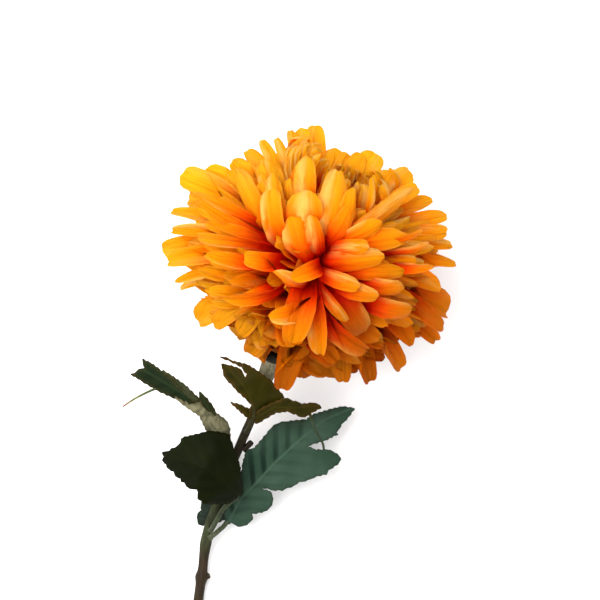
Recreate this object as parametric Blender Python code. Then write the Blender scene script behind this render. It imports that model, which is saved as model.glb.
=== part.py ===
"""A cut chrysanthemum stem lying on a table: a ball-shaped orange head, its calyx, the stem and four leaves.

Metres, +Z up. The origin is on the table, under the middle of the whole stem's box. The head lies towards +Y
and the cut end towards -Y. Lengths below are in millimetres until a mesh is made.
Outlines and routes are read off a photograph that looks straight down on the stem, as pixels of its
600 x 600 frame, and turned to millimetres by one scale.
"""

import math
import random

import bmesh
import bpy
import numpy as np
from mathutils import Vector
from mathutils.geometry import delaunay_2d_cdt

MM = 0.001
GAP = 0.3  # left between pieces that touch

# The photograph's frame: real size of a pixel, and where the head's centre lies in it and in the model.
PIXEL = 0.45
HEAD_PIXEL = (311.0, 258.0)
HEAD_PLACE = (11.0, 102.5)
HEAD_HEIGHT = 55.0

# The head: a ball of petals whose axis leans right and up from the table. Its outline from above is a
# radius at each angle, counted anticlockwise from +X, and its height over the centre is one more radius.
AXIS_LEAN_DEG = 21.0
AXIS_TILT_DEG = 25.0
OUTLINE_DEG = (-30, 0, 30, 60, 90, 120, 150, 180, 210, 240, 270, 300, 330, 360)
OUTLINE_RADIUS = (69, 66, 58, 58, 61, 59, 70, 67, 60, 53, 56, 60, 69, 66)
UPWARD_RADIUS = 62.0
NEST_DEG = (0, 16, 36)
NEST_SHARE = (0.80, 0.86, 1.0)

# Petals, on a golden-angle spiral from the nest at the apex to the ring round the calyx. Where the lying
# head faces up, they part round one point and lean away from it. Elsewhere those near the apex curve in
# over the nest and those near the calyx curve back over it.
PETAL_COUNT = 212
PETAL_SEED = 11
GOLDEN_ANGLE = math.pi * (3 - math.sqrt(5))
FIRST_PETAL_DEG = 4.0
LAST_PETAL_DEG = 157.0
NEST_CROWDING = 1.10
JITTER_DEG = (3.0, 4.0)  # how far a petal strays from the spiral, away from the apex and round it
PARTING = (-0.06, 0.02, 1.0)
PARTING_DEG = (0, 80, 105, 130)
PARTING_PULL = (1.5, 1.3, 0.5, 0.0)
NEST_EDGE_DEG = (18, 34)
CURVE_IN_DEG = (0, 30, 60, 90, 120, 150)
CURVE_IN_PULL = (-0.7, -0.6, -0.3, 0.0, 0.35, 0.6)
BEND_SHARE = 0.74
NEARLY_STRAIGHT = 0.15  # below this share of sideways bend, a petal's width runs round the head's axis
PETAL_HALF_WIDTH = 6.4
SIZE_DEG = (0, 18, 45, 75, 150)
SIZE_SHARE = (0.42, 0.55, 0.86, 1.0, 1.0)
WIDTH_SPREAD = (0.86, 1.12)
REACH_SPREAD = (0.93, 1.04)
CUP_SPREAD = (0.16, 0.34)
TWIST_DEG = 22.0
PETAL_THICKNESS = 1.2
PETAL_ROOT_RADIUS = 9.0
PETAL_STATIONS = (0.0, 0.38, 0.66, 0.90, 1.0)
PETAL_WIDTH_SHARE = (0.34, 0.62, 1.0, 0.80, 0.0)
ROOT_DROP_DEG = (80, 150)  # past the first angle the roots move down the axis, to LOWEST_ROOT at the second
LOWEST_ROOT = -36.0
TABLE_SINK = 0.25  # how far pressed petals go below the table before it trims them flat
TABLE_REACH = 400.0
TABLE_DEPTH = 20.0

# The receptacle that the petals stand out of: distance along the axis and radius.
CORE_PROFILE = ((-48, 7), (-43, 12), (-28, 19), (-8, 23), (12, 22), (25, 15), (31, 6))
CORE_SIDES = 14

# The calyx: a toothed rim under the head and the moulded neck that takes the stem.
CALYX_PROFILE = ((-48.4, 7), (-50.2, 9.6), (-51.6, 8.4), (-54, 4.6), (-60, 3.9), (-66, 3.4), (-70, 3.2))
CALYX_SIDES = 24
CALYX_TEETH = 8
CALYX_TOOTH_DEPTH = 0.22
TOOTHED_RINGS = 3
NECK_END = -70.0
NECK_ROOM_END = -95.0
CALYX_CLEARANCE = 0.4

# The stem: its route below the calyx in pixels, then on past the photograph's edge to the cut end.
STEM_ROUTE = (
    (256, 408), (250.5, 421), (240.5, 444), (229, 472), (217, 504), (209, 526), (205.5, 543), (203.5, 557),
    (202, 572), (200, 585), (198, 600), (193, 640), (189, 690), (187, 745), (188, 800), (190, 840),
)
STEM_RADIUS_TOP = 2.0
STEM_RADIUS_LOW = 2.3
STEM_TAPER_LENGTH = 120.0
STEM_SIDES = 12
STEM_STEP = 4.0
NODE_RINGS = ((202, 576.5, 1.0), (188.5, 700, 0.9))
NODE_RING_LENGTH = 3.2
NECK_SLOPE = 0.36  # how steeply the stem leaves the calyx towards the table
# Short branches and stubs of the stem: start and end pixels, rise of the end, and radius.
STEM_BRANCHES = (
    ((205.5, 545), (211, 537.5), 3.0, 1.5),
    ((243, 451), (253.5, 440.5), 1.0, 1.4),
    ((201.5, 577.5), (208.5, 577), 1.0, 1.5),
)
BRANCH_TAPER = 0.9
BRANCH_SIDES = 8

BLADE_THICKNESS = 0.9
STALK_FOOT = 1.5  # length of a stalk's square start
RIB_STEP = 5.0
RIB_SIDES = 6
LEAF_GRID = 7.5  # spacing of the points inside a leaf's outline
CORNER_ROOM = 3.0  # how far those points keep from the outline's corners


def clear_scene():
    for old in list(bpy.data.objects):
        bpy.data.objects.remove(old, do_unlink=True)


def material(name, colour, roughness):
    made = bpy.data.materials.new(name)
    made.use_nodes = True
    shader = made.node_tree.nodes["Principled BSDF"]
    shader.inputs["Base Color"].default_value = (*colour, 1.0)
    shader.inputs["Roughness"].default_value = roughness
    shader.inputs["Metallic"].default_value = 0.0
    return made


def unit(v):
    return v / np.linalg.norm(v)


def placed(pixel, height):
    """A pixel of the photograph and a height above the table, as a point in millimetres."""
    x = HEAD_PLACE[0] + (pixel[0] - HEAD_PIXEL[0]) * PIXEL
    y = HEAD_PLACE[1] + (HEAD_PIXEL[1] - pixel[1]) * PIXEL
    return np.array((x, y, height))


def head_axis():
    lean = math.radians(AXIS_LEAN_DEG)
    tilt = math.radians(AXIS_TILT_DEG)
    level = math.cos(tilt)
    return np.array((math.sin(lean) * level, math.cos(lean) * level, math.sin(tilt)))


AXIS = head_axis()
SIDE = unit(np.cross(AXIS, (0.0, 0.0, 1.0)))
FRONT = np.cross(SIDE, AXIS)
HEAD_CENTRE = placed(HEAD_PIXEL, HEAD_HEIGHT)


def head_direction(polar, azimuth):
    """Unit vector at a polar angle from the head's axis and an azimuth round it."""
    around = math.cos(azimuth) * SIDE + math.sin(azimuth) * FRONT
    return math.cos(polar) * AXIS + math.sin(polar) * around


# Meshes and joining


def mesh_object(name, points, faces):
    """A named object whose points are given in millimetres."""
    mesh = bpy.data.meshes.new(name)
    mesh.from_pydata([tuple(MM * float(c) for c in p) for p in points], [], faces)
    work = bmesh.new()
    work.from_mesh(mesh)
    bmesh.ops.recalc_face_normals(work, faces=work.faces)
    work.to_mesh(mesh)
    work.free()
    made = bpy.data.objects.new(name, mesh)
    bpy.context.scene.collection.objects.link(made)
    return made


def combine(body, others, operation, solver="MANIFOLD"):
    """Applies one Boolean of the other objects on body, then removes them."""
    group = bpy.data.collections.new(body.name + "_pieces")
    bpy.context.scene.collection.children.link(group)
    for other in others:
        bpy.context.scene.collection.objects.unlink(other)
        group.objects.link(other)
    modifier = body.modifiers.new("join", "BOOLEAN")
    modifier.operation = operation
    modifier.operand_type = "COLLECTION"
    modifier.collection = group
    modifier.solver = solver
    graph = bpy.context.evaluated_depsgraph_get()
    graph.update()
    joined = bpy.data.meshes.new_from_object(body.evaluated_get(graph))
    body.modifiers.remove(modifier)
    body.data = joined
    for other in others:
        bpy.data.objects.remove(other, do_unlink=True)
    bpy.data.collections.remove(group)
    return body


def keep_largest_shell(body):
    """Drops loose scraps and the walls of sealed hollows, so that the piece is one filled solid."""
    work = bmesh.new()
    work.from_mesh(body.data)
    unseen = set(work.faces)
    shells = []
    while unseen:
        start = unseen.pop()
        shell = [start]
        for face in shell:
            for edge in face.edges:
                for other in edge.link_faces:
                    if other in unseen:
                        unseen.discard(other)
                        shell.append(other)
        shells.append(shell)
    shells.sort(key=len, reverse=True)
    for shell in shells[1:]:
        bmesh.ops.delete(work, geom=shell, context="FACES")
    loose = [v for v in work.verts if not v.link_faces]
    bmesh.ops.delete(work, geom=loose, context="VERTS")
    work.to_mesh(body.data)
    work.free()


def finish(body, made_of):
    body.data.materials.clear()
    body.data.materials.append(made_of)
    return body


def tube_faces(rings, sides):
    """Quads between rings of points, with one face over each end."""
    faces = []
    for r in range(rings - 1):
        for k in range(sides):
            here = r * sides
            there = here + sides
            faces.append((here + k, here + (k + 1) % sides, there + (k + 1) % sides, there + k))
    faces.append(tuple(range(sides))[::-1])
    faces.append(tuple((rings - 1) * sides + k for k in range(sides)))
    return faces


def tube(name, route, radii, sides):
    """A round bar along a route of points, its two ends cut square."""
    route = np.array(route, dtype=float)
    points = []
    side = None
    for i, centre in enumerate(route):
        ahead = unit(route[min(i + 1, len(route) - 1)] - route[max(i - 1, 0)])
        if side is None:
            side = np.cross(ahead, (0.0, 0.0, 1.0))
        side = unit(side - np.dot(side, ahead) * ahead)
        up = np.cross(side, ahead)
        for k in range(sides):
            turn = 2 * math.pi * k / sides
            points.append(centre + radii[i] * (math.cos(turn) * side + math.sin(turn) * up))
    return mesh_object(name, points, tube_faces(len(route), sides))


def turned(name, profile, sides, grow=0.0, teeth=0, toothed=0):
    """A solid turned round the head's axis: profile is (distance along the axis, radius) pairs."""
    points = []
    for ring, (along, radius) in enumerate(profile):
        for k in range(sides):
            turn = 2 * math.pi * k / sides
            reach = radius + grow
            if ring < toothed:
                reach *= 1 - CALYX_TOOTH_DEPTH * (0.5 + 0.5 * math.cos(teeth * turn))
            outward = math.cos(turn) * SIDE + math.sin(turn) * FRONT
            points.append(HEAD_CENTRE + along * AXIS + reach * outward)
    return mesh_object(name, points, tube_faces(len(profile), sides))


def smooth_route(points, step):
    """Points about a step apart on a smooth curve through the given ones."""
    points = [np.array(p, dtype=float) for p in points]
    ends = [2 * points[0] - points[1]] + points + [2 * points[-1] - points[-2]]
    route = []
    for i in range(1, len(ends) - 2):
        a, b, c, d = ends[i - 1 : i + 3]
        parts = max(1, round(np.linalg.norm(c - b) / step))
        for j in range(parts):
            t = j / parts
            bend = 2 * a - 5 * b + 4 * c - d
            turn = 3 * b - a - 3 * c + d
            route.append(0.5 * (2 * b + (c - a) * t + bend * t * t + turn * t**3))
    route.append(points[-1])
    return route


# Petals


def head_radius(way):
    """Distance from the head's centre to the petal tips that point one way."""
    level = math.hypot(way[0], way[1])
    angle = math.degrees(math.atan2(way[1], way[0])) % 360
    outline = np.interp(angle, OUTLINE_DEG, OUTLINE_RADIUS)
    radius = 1 / math.hypot(level / outline, way[2] / UPWARD_RADIUS)
    polar = math.degrees(math.acos(np.clip(np.dot(way, AXIS), -1, 1)))
    return radius * np.interp(polar, NEST_DEG, NEST_SHARE)


def leaving_way(way, polar):
    """Direction in which a petal leaves the receptacle, given the direction of its tip."""
    parting = unit(np.array(PARTING))
    from_parting = math.degrees(math.acos(np.clip(np.dot(way, parting), -1, 1)))
    outside_nest = np.interp(polar, NEST_EDGE_DEG, (0.0, 1.0))
    pull = outside_nest * np.interp(from_parting, PARTING_DEG, PARTING_PULL)
    rest = 1 - pull / max(PARTING_PULL)
    curve = rest * np.interp(polar, CURVE_IN_DEG, CURVE_IN_PULL)
    return unit(way + pull * parting + curve * AXIS)


def petal_shapes():
    """Every petal's own values, from the nest outwards."""
    draw = random.Random(PETAL_SEED)
    first = math.cos(math.radians(FIRST_PETAL_DEG))
    last = math.cos(math.radians(LAST_PETAL_DEG))
    shapes = []
    for i in range(PETAL_COUNT):
        share = ((i + 0.5) / PETAL_COUNT) ** NEST_CROWDING
        polar = math.degrees(math.acos(first + share * (last - first)))
        polar += draw.uniform(-JITTER_DEG[0], JITTER_DEG[0])
        azimuth = i * GOLDEN_ANGLE + math.radians(draw.uniform(-JITTER_DEG[1], JITTER_DEG[1]))
        way = head_direction(math.radians(polar), azimuth)
        size = np.interp(polar, SIZE_DEG, SIZE_SHARE)
        reach = head_radius(way) * draw.uniform(*REACH_SPREAD)
        leave = leaving_way(way, polar)
        base = HEAD_CENTRE + np.interp(polar, ROOT_DROP_DEG, (0.0, LOWEST_ROOT)) * AXIS
        shapes.append(
            {
                "root": base + PETAL_ROOT_RADIUS * leave,
                "bend": base + BEND_SHARE * reach * leave,
                "tip": HEAD_CENTRE + reach * way,
                "leave": leave,
                "half_width": PETAL_HALF_WIDTH * size * draw.uniform(*WIDTH_SPREAD),
                "twist": math.radians(draw.uniform(-TWIST_DEG, TWIST_DEG)),
                "cup": draw.uniform(*CUP_SPREAD),
                "sink": draw.uniform(0.5, 1.0) * TABLE_SINK,
            }
        )
    return shapes


def petal_spine(shape, u):
    """Point on the petal's middle line, from the receptacle at u = 0 to its tip at u = 1."""
    return (1 - u) ** 2 * shape["root"] + 2 * u * (1 - u) * shape["bend"] + u * u * shape["tip"]


def petal_frame(shape, u):
    """The petal's width direction and its outer side at u."""
    ahead = unit((1 - u) * (shape["bend"] - shape["root"]) + u * (shape["tip"] - shape["bend"]))
    across = np.cross(shape["leave"], shape["tip"] - shape["bend"])
    if np.linalg.norm(across) < NEARLY_STRAIGHT * np.linalg.norm(shape["tip"] - shape["bend"]):
        across = np.cross(AXIS, ahead)
    across = unit(across - np.dot(across, ahead) * ahead)
    outer = np.cross(ahead, across)
    turn = shape["twist"]
    width_way = math.cos(turn) * across + math.sin(turn) * outer
    outer_way = math.cos(turn) * outer - math.sin(turn) * across
    return width_way, outer_way


def petal_blade(name, shape):
    """A cupped four-sided blade, thickest along its middle, lifted wherever it would sink into the table."""
    points = []
    for u, share in zip(PETAL_STATIONS, PETAL_WIDTH_SHARE):
        middle = petal_spine(shape, u)
        across, outer = petal_frame(shape, u)
        width = share * shape["half_width"]
        ring = [middle]
        if width > 0.0:
            rise = -shape["cup"] * width * outer
            half = PETAL_THICKNESS / 2 * outer
            ring = [
                middle - width * across + rise,
                middle - half,
                middle + width * across + rise,
                middle + half,
            ]
        lowest = min(p[2] for p in ring)
        lift = max(0.0, -lowest - shape["sink"])
        points += [p + np.array((0.0, 0.0, lift)) for p in ring]
    rings = len(PETAL_STATIONS) - 1
    faces = tube_faces(rings, 4)[:-1]
    last = (rings - 1) * 4
    tip = len(points) - 1
    faces += [(last + k, last + (k + 1) % 4, tip) for k in range(4)]
    return mesh_object(name, points, faces)


def table_block():
    """The space under the table, which trims pressed petals flat."""
    sides = (-TABLE_REACH, TABLE_REACH)
    points = [(x, y, z) for z in (-TABLE_DEPTH, 0.0) for y in sides for x in sides]
    faces = [(0, 1, 3, 2), (4, 5, 7, 6), (0, 1, 5, 4), (2, 3, 7, 6), (0, 2, 6, 4), (1, 3, 7, 5)]
    return mesh_object("under_table", points, faces)


def make_bloom():
    bloom = turned("bloom", CORE_PROFILE, CORE_SIDES)
    petals = [petal_blade(f"petal_{i}", shape) for i, shape in enumerate(petal_shapes())]
    combine(bloom, petals, "UNION")
    room_profile = CALYX_PROFILE + ((NECK_ROOM_END, CALYX_PROFILE[-1][1]),)
    room = turned("calyx_room", room_profile, CALYX_SIDES, grow=CALYX_CLEARANCE)
    combine(bloom, [table_block(), room], "DIFFERENCE")
    keep_largest_shell(bloom)
    return finish(bloom, material("petal_cloth", (0.95, 0.42, 0.02), 0.6))


# Calyx and stem


def make_calyx():
    calyx = turned("calyx", CALYX_PROFILE, CALYX_SIDES, teeth=CALYX_TEETH, toothed=TOOTHED_RINGS)
    return finish(calyx, material("calyx_plastic", (0.16, 0.17, 0.10), 0.6))


def stem_route():
    """The stem's middle line, from just under the neck down to where it lies along the table."""
    start = HEAD_CENTRE + (NECK_END - GAP) * AXIS
    flat = [start[:2]] + [placed(pixel, 0.0)[:2] for pixel in STEM_ROUTE]
    gone = [0.0]
    for a, b in zip(flat, flat[1:]):
        gone.append(gone[-1] + np.linalg.norm(b - a))
    drop = start[2] - STEM_RADIUS_LOW
    reach = 2 * drop / NECK_SLOPE
    route = []
    for place, way in zip(flat, gone):
        left = max(0.0, 1 - way / reach)
        route.append((*place, STEM_RADIUS_LOW + drop * left * left))
    return smooth_route(route, STEM_STEP)


def stem_radius(route):
    """Radius at each point of the route, swollen at the node rings."""
    radii = []
    for i, point in enumerate(route):
        share = min(1.0, i * STEM_STEP / STEM_TAPER_LENGTH)
        radius = STEM_RADIUS_TOP + (STEM_RADIUS_LOW - STEM_RADIUS_TOP) * share
        for x, y, swell in NODE_RINGS:
            away = np.linalg.norm(point[:2] - placed((x, y), 0.0)[:2])
            radius += swell * math.exp(-((away / NODE_RING_LENGTH) ** 2))
        radii.append(radius)
    return radii


def height_on_stem(pixel):
    """How high the stem's middle line is at the point nearest to a pixel."""
    place = placed(pixel, 0.0)[:2]
    nearest = min(stem_route(), key=lambda p: np.linalg.norm(p[:2] - place))
    return nearest[2]


def seated_on_stem(pixel, aim):
    """The first two points of a stalk: it leaves the stem squarely, a gap off its surface, towards aim."""
    route = stem_route()
    place = placed(pixel, 0.0)[:2]
    i = min(range(len(route)), key=lambda k: np.linalg.norm(route[k][:2] - place))
    ahead = unit(route[i + 1] - route[i - 1])
    toward = aim - route[i]
    out = unit(toward - np.dot(toward, ahead) * ahead)
    surface = stem_radius(route)[i] + GAP
    return [route[i] + surface * out, route[i] + (surface + STALK_FOOT) * out]


def make_stem():
    route = stem_route()
    stem = tube("stem", route, stem_radius(route), STEM_SIDES)
    branches = []
    for i, (start, end, rise, radius) in enumerate(STEM_BRANCHES):
        height = height_on_stem(start)
        ends = [placed(start, height), placed(end, height + rise)]
        branches.append(tube(f"branch_{i}", ends, (radius, radius * BRANCH_TAPER), BRANCH_SIDES))
    combine(stem, branches, "UNION")
    combine(stem, [table_block()], "DIFFERENCE")
    keep_largest_shell(stem)
    return finish(stem, material("stem_plastic", (0.10, 0.07, 0.04), 0.6))


# Leaves


def inside(place, outline):
    """Whether a flat point lies in a closed outline."""
    x, y = place
    found = False
    for (ax, ay), (bx, by) in zip(outline, outline[1:] + outline[:1]):
        if (ay > y) != (by > y) and x < ax + (y - ay) / (by - ay) * (bx - ax):
            found = not found
    return found


def rib_offset(place, rib):
    """Height of the rib beside a flat point, and the point's signed distance from the rib."""
    best = None
    for a, b in zip(rib, rib[1:]):
        along = b[:2] - a[:2]
        t = float(np.clip(np.dot(place - a[:2], along) / np.dot(along, along), 0, 1))
        foot = a[:2] + t * along
        away = float(np.linalg.norm(place - foot))
        if best is None or away < best[0]:
            cross = along[0] * (place[1] - a[1]) - along[1] * (place[0] - a[0])
            best = (away, a[2] + t * (b[2] - a[2]), math.copysign(1.0, cross))
    return best[1], best[2] * best[0]


def blade_height(place, blade):
    """Height of a leaf's middle surface, which slopes away from its rib on each side."""
    rib_height, away = rib_offset(place, blade["rib"])
    slope = blade["left"] if away > 0 else blade["right"]
    return max(BLADE_THICKNESS, rib_height + slope * abs(away))


def leaf_blade(name, blade):
    """A leaf's blade: its cut outline filled with triangles, alike on both faces."""
    outline = [tuple(placed(p, 0.0)[:2]) for p in blade["outline"]]
    rib = [placed(p[:2], p[2]) for p in blade["rib"]]
    blade = {**blade, "rib": rib}
    low = np.min(outline, axis=0)
    high = np.max(outline, axis=0)
    inner = []
    rows = int((high[1] - low[1]) / LEAF_GRID) + 1
    columns = int((high[0] - low[0]) / LEAF_GRID) + 1
    for r in range(rows):
        for c in range(columns):
            spot = (low[0] + (c + 0.5 + 0.5 * (r % 2)) * LEAF_GRID, low[1] + (r + 0.5) * LEAF_GRID)
            clear = min(math.dist(spot, corner) for corner in outline) > CORNER_ROOM
            if clear and inside(spot, outline):
                inner.append(spot)
    count = len(outline)
    edges = [(i, (i + 1) % count) for i in range(count)]
    spots, _, triangles, *_ = delaunay_2d_cdt(
        [Vector(p) for p in outline + inner], edges, [], 1, 1e-4
    )
    spots = [np.array(p) for p in spots]
    heights = [blade_height(p, blade) for p in spots]
    half = BLADE_THICKNESS / 2 * (math.hypot(blade["left"], 1.0) if blade["steep"] else 1.0)
    points = []
    for sign in (1, -1):
        for spot, height in zip(spots, heights):
            points.append((spot[0], spot[1], height + sign * half))
    total = len(spots)
    faces = [tuple(t) for t in triangles]
    faces += [tuple(i + total for i in reversed(t)) for t in triangles]
    used = {}
    for t in triangles:
        for i in range(3):
            a, b = t[i], t[(i + 1) % 3]
            used[(a, b)] = used.get((a, b), 0) + 1
    for a, b in used:
        if (b, a) not in used:
            faces.append((a, b, b + total))
            faces.append((a, b + total, a + total))
    return mesh_object(name, points, faces)


def make_leaf(leaf):
    """One leaf: its blades, its stalk and its rib, joined."""
    blades = [leaf_blade(f"{leaf['name']}_{i}", blade) for i, blade in enumerate(leaf["blades"])]
    body = blades[0]
    body.name = leaf["name"]
    bars = []
    for i, (route, thick, thin) in enumerate(leaf["bars"]):
        points = [placed(p[:2], p[2]) for p in route]
        if i == 0 and leaf["seat"]:
            points = seated_on_stem(leaf["seat"], points[0]) + points
        points = smooth_route(points, RIB_STEP)
        radii = np.linspace(thick, thin, len(points))
        bars.append(tube(f"bar_{i}", points, radii, RIB_SIDES))
    combine(body, blades[1:] + bars, "UNION")
    keep_largest_shell(body)
    return finish(body, material(leaf["name"] + "_cloth", leaf["colour"], 0.7))


LEAF_RIGHT = {
    "name": "leaf_right",
    "seat": None,
    "colour": (0.05, 0.09, 0.06),
    "blades": (
        {
            "outline": (
                (226, 526), (231, 524), (240, 528), (248, 525), (253, 519), (252, 514.7), (263, 513),
                (268, 510.5), (272.4, 504.5), (272.8, 498), (270.5, 492.5), (260.3, 489.3), (266.8, 489),
                (270.5, 491), (283.5, 491), (287, 489), (292.7, 487.4), (298.7, 483), (307.5, 481),
                (312, 479.6), (316.7, 477), (327.4, 474.5), (328.8, 471), (339, 464), (341.3, 459),
                (336, 453.7), (328.8, 450.4), (316.7, 450.4), (307.5, 447.6), (313, 444.4), (324, 441.6),
                (333.4, 437), (338.5, 435), (337, 433), (341.7, 425), (348, 418.5), (355, 409),
                (343.6, 407), (333.4, 409), (313, 415), (306.6, 420), (289, 421.7), (279.7, 423),
                (272.3, 427), (266.8, 434), (254.8, 448), (246, 452), (243, 462), (240, 480), (232, 500),
                (224, 516),
            ),
            "rib": (
                (226, 528, 11), (240, 500, 15), (255, 485, 18), (275, 463, 21), (300, 440, 21),
                (325, 420, 18), (354, 408, 14),
            ),
            "left": -0.15, "right": -0.20, "steep": False,
        },
        {
            "outline": (
                (226, 520), (216, 524), (203.4, 527), (198, 526), (196.4, 520), (197, 514), (200.6, 511),
                (200.6, 503.6), (206, 497), (222, 494), (234, 500),
            ),
            "rib": ((232, 508, 12), (215, 512, 8), (198, 518, 5)),
            "left": -0.05, "right": -0.05, "steep": False,
        },
    ),
    "bars": (
        (
            (
                (211.7, 536.7, 15.2), (219, 531, 13.5), (226, 526, 12), (240, 500, 15), (255, 485, 18),
                (275, 463, 21),
            ),
            1.2,
            0.9,
        ),
    ),
}

LEAF_FRONT = {
    "name": "leaf_front",
    "seat": (211, 531),
    "colour": (0.03, 0.04, 0.01),
    "blades": (
        {
            "outline": (
                (228.7, 434.8), (216, 431.7), (206.2, 431.7), (199.2, 434), (183, 437.6), (180.3, 439),
                (180, 442.5), (177.5, 445.4), (174.6, 447.8), (170.4, 448.5), (169, 451), (161, 453.4),
                (163, 457), (161.3, 460.8), (165.5, 465), (166, 468), (173, 472), (174.6, 476.6),
                (180, 479), (180.6, 482.5), (183.8, 483), (186, 487), (191.5, 489.6), (196.4, 490),
                (197.5, 492.4), (198, 500), (201, 501.5), (203.4, 504), (214, 504.6), (228.7, 504.3),
                (242, 494), (240, 467), (233.6, 449),
            ),
            "rib": ((240, 498, 27), (226, 484, 34), (205, 468, 38), (180, 459, 33), (161, 455, 26)),
            "left": 0.25, "right": -0.3, "steep": False,
        },
    ),
    "bars": (
        (
            ((216.5, 521, 17.5), (222, 511, 20), (231, 502, 24), (239, 497, 27), (226, 484, 34), (205, 468, 38)),
            1.2,
            0.8,
        ),
    ),
}

LEAF_LEFT = {
    "name": "leaf_left",
    "seat": (230, 471),
    "colour": (0.06, 0.08, 0.04),
    "blades": (
        {
            "outline": (
                (141.5, 358.7), (152, 364), (161, 370.7), (175, 383), (188, 394), (200, 401), (190, 404),
                (183, 404), (175, 399), (168, 396), (156.5, 390.6), (152, 388), (139, 380), (129, 374),
                (134, 373), (137, 370), (144, 368),
            ),
            "rib": ((196, 402, 37), (170, 386, 36), (150, 374, 32), (132, 364, 26)),
            "left": -0.5, "right": 0.5, "steep": True,
        },
        {
            "outline": (
                (174.5, 397), (184, 402), (198, 400), (208, 406), (217, 414), (226, 421), (229.5, 428),
                (230, 440), (226, 452), (214, 452), (208, 438), (206, 431), (199, 416), (190, 410),
                (184, 406),
            ),
            "rib": ((216, 452, 16), (212, 430, 25), (200, 412, 34), (180, 399, 37)),
            "left": 0.5, "right": -0.5, "steep": True,
        },
        {
            "outline": ((198.7, 391.5), (206, 397.5), (213.7, 408), (216, 416), (204, 408), (200, 400)),
            "rib": ((210, 412, 34), (199, 392, 40)),
            "left": 0.1, "right": 0.1, "steep": False,
        },
        {
            "outline": ((162, 370), (172, 376), (186, 386), (200, 400), (194, 402), (182, 391), (170, 380)),
            "rib": ((198, 401, 38), (162, 370, 36)),
            "left": 0.1, "right": 0.1, "steep": False,
        },
    ),
    "bars": (
        (((223, 460, 18.5), (217, 448, 19), (212, 430, 25), (200, 412, 34)), 1.2, 0.9),
        (((176, 388, 36), (154.8, 389, 33), (136, 398, 30), (122.5, 406.8, 26)), 0.8, 0.45),
    ),
}

LEAF_UPPER = {
    "name": "leaf_upper",
    "seat": (247.5, 429),
    "colour": (0.05, 0.04, 0.01),
    "blades": (
        {
            "outline": (
                (221, 364), (230, 365.5), (239.8, 368.7), (245.2, 377), (246.5, 374), (241, 367),
                (228, 360.5), (218.8, 356.9), (224, 357), (233, 361), (248, 365), (257.4, 371),
                (273.5, 383), (284.6, 398), (276, 408), (266, 414), (258, 420), (250, 418), (249, 410),
                (251.7, 405), (244.4, 398), (234.5, 388.6), (230.7, 384), (224, 377), (222.6, 370),
            ),
            "rib": ((254, 420, 33), (252, 402, 41), (243, 385, 44), (224, 364, 39)),
            "left": 0.05, "right": 0.05, "steep": False,
        },
        {
            "outline": ((230, 402.4), (240, 404.7), (252, 411), (254, 420), (246.7, 417.7), (238, 410)),
            "rib": ((252, 418, 34), (230, 402, 38)),
            "left": 0.05, "right": 0.05, "steep": False,
        },
        {
            "outline": (
                (256, 424.6), (263.6, 420), (275.8, 413), (287, 411.6), (295.7, 414.6), (298.7, 417),
                (305.6, 417), (311.7, 413), (321.7, 407.7), (320, 405), (314, 403), (302.6, 404),
                (293.4, 401), (285.7, 398), (275, 402), (262, 408), (252, 416),
            ),
            "rib": ((252, 420, 33), (275, 407, 42), (295, 408, 44), (320, 406, 40)),
            "left": 0.6, "right": -0.6, "steep": True,
        },
    ),
    "bars": (
        (((250, 425, 31), (254, 414, 37), (252, 402, 41), (243, 385, 44)), 1.2, 0.8),
        (((285, 409, 43), (308, 414, 40), (314.8, 429, 36), (322.5, 443, 31), (324, 450, 28)), 0.8, 0.5),
    ),
}


def main():
    clear_scene()
    make_bloom()
    make_calyx()
    make_stem()
    for leaf in (LEAF_RIGHT, LEAF_FRONT, LEAF_LEFT, LEAF_UPPER):
        make_leaf(leaf)


main()
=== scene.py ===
import math
import random

import bpy
import numpy as np
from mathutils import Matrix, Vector, noise
from mathutils.geometry import delaunay_2d_cdt


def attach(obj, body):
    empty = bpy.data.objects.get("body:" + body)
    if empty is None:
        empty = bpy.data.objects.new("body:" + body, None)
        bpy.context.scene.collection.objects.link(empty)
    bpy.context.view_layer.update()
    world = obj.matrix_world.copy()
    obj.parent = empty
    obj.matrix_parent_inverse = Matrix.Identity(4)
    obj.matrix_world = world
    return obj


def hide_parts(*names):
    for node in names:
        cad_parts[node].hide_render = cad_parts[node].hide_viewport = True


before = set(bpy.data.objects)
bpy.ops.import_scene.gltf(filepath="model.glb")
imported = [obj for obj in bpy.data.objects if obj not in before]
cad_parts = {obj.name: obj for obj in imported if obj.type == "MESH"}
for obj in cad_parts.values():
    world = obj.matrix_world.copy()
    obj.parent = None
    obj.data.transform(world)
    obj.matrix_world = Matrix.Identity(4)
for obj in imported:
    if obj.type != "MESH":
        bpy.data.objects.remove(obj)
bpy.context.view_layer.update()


# The stem
# One moulded plastic stem over a wire, brown where it is old wood and green towards the head, with node
# rings, a forked side branch and two short stubs where side shoots were trimmed off the mould.
# It lies along the table at its cut end and rises to the head, so its route drops in a gentle curve.

MM = 0.001
PIXEL = 0.45  # millimetres for each pixel of the 600 x 600 photograph, which looks straight down
HEAD_PIXEL = (311.0, 258.0)  # the head's middle, in pixels from the photograph's upper left corner
HEAD_PLACE = (11.0, 102.5)  # where that is over the table, in mm
HEAD_HEIGHT = 55.0
AXIS_LEAN_DEG = 21.0  # the head's axis leans this far right of the photograph's upward way
AXIS_TILT_DEG = 25.0  # and rises this far off the table
NECK_END = -70.0  # where the neck ends, in mm along the axis from the head's middle
GAP = 0.3  # what is left open between two pieces, as in the solids

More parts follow.
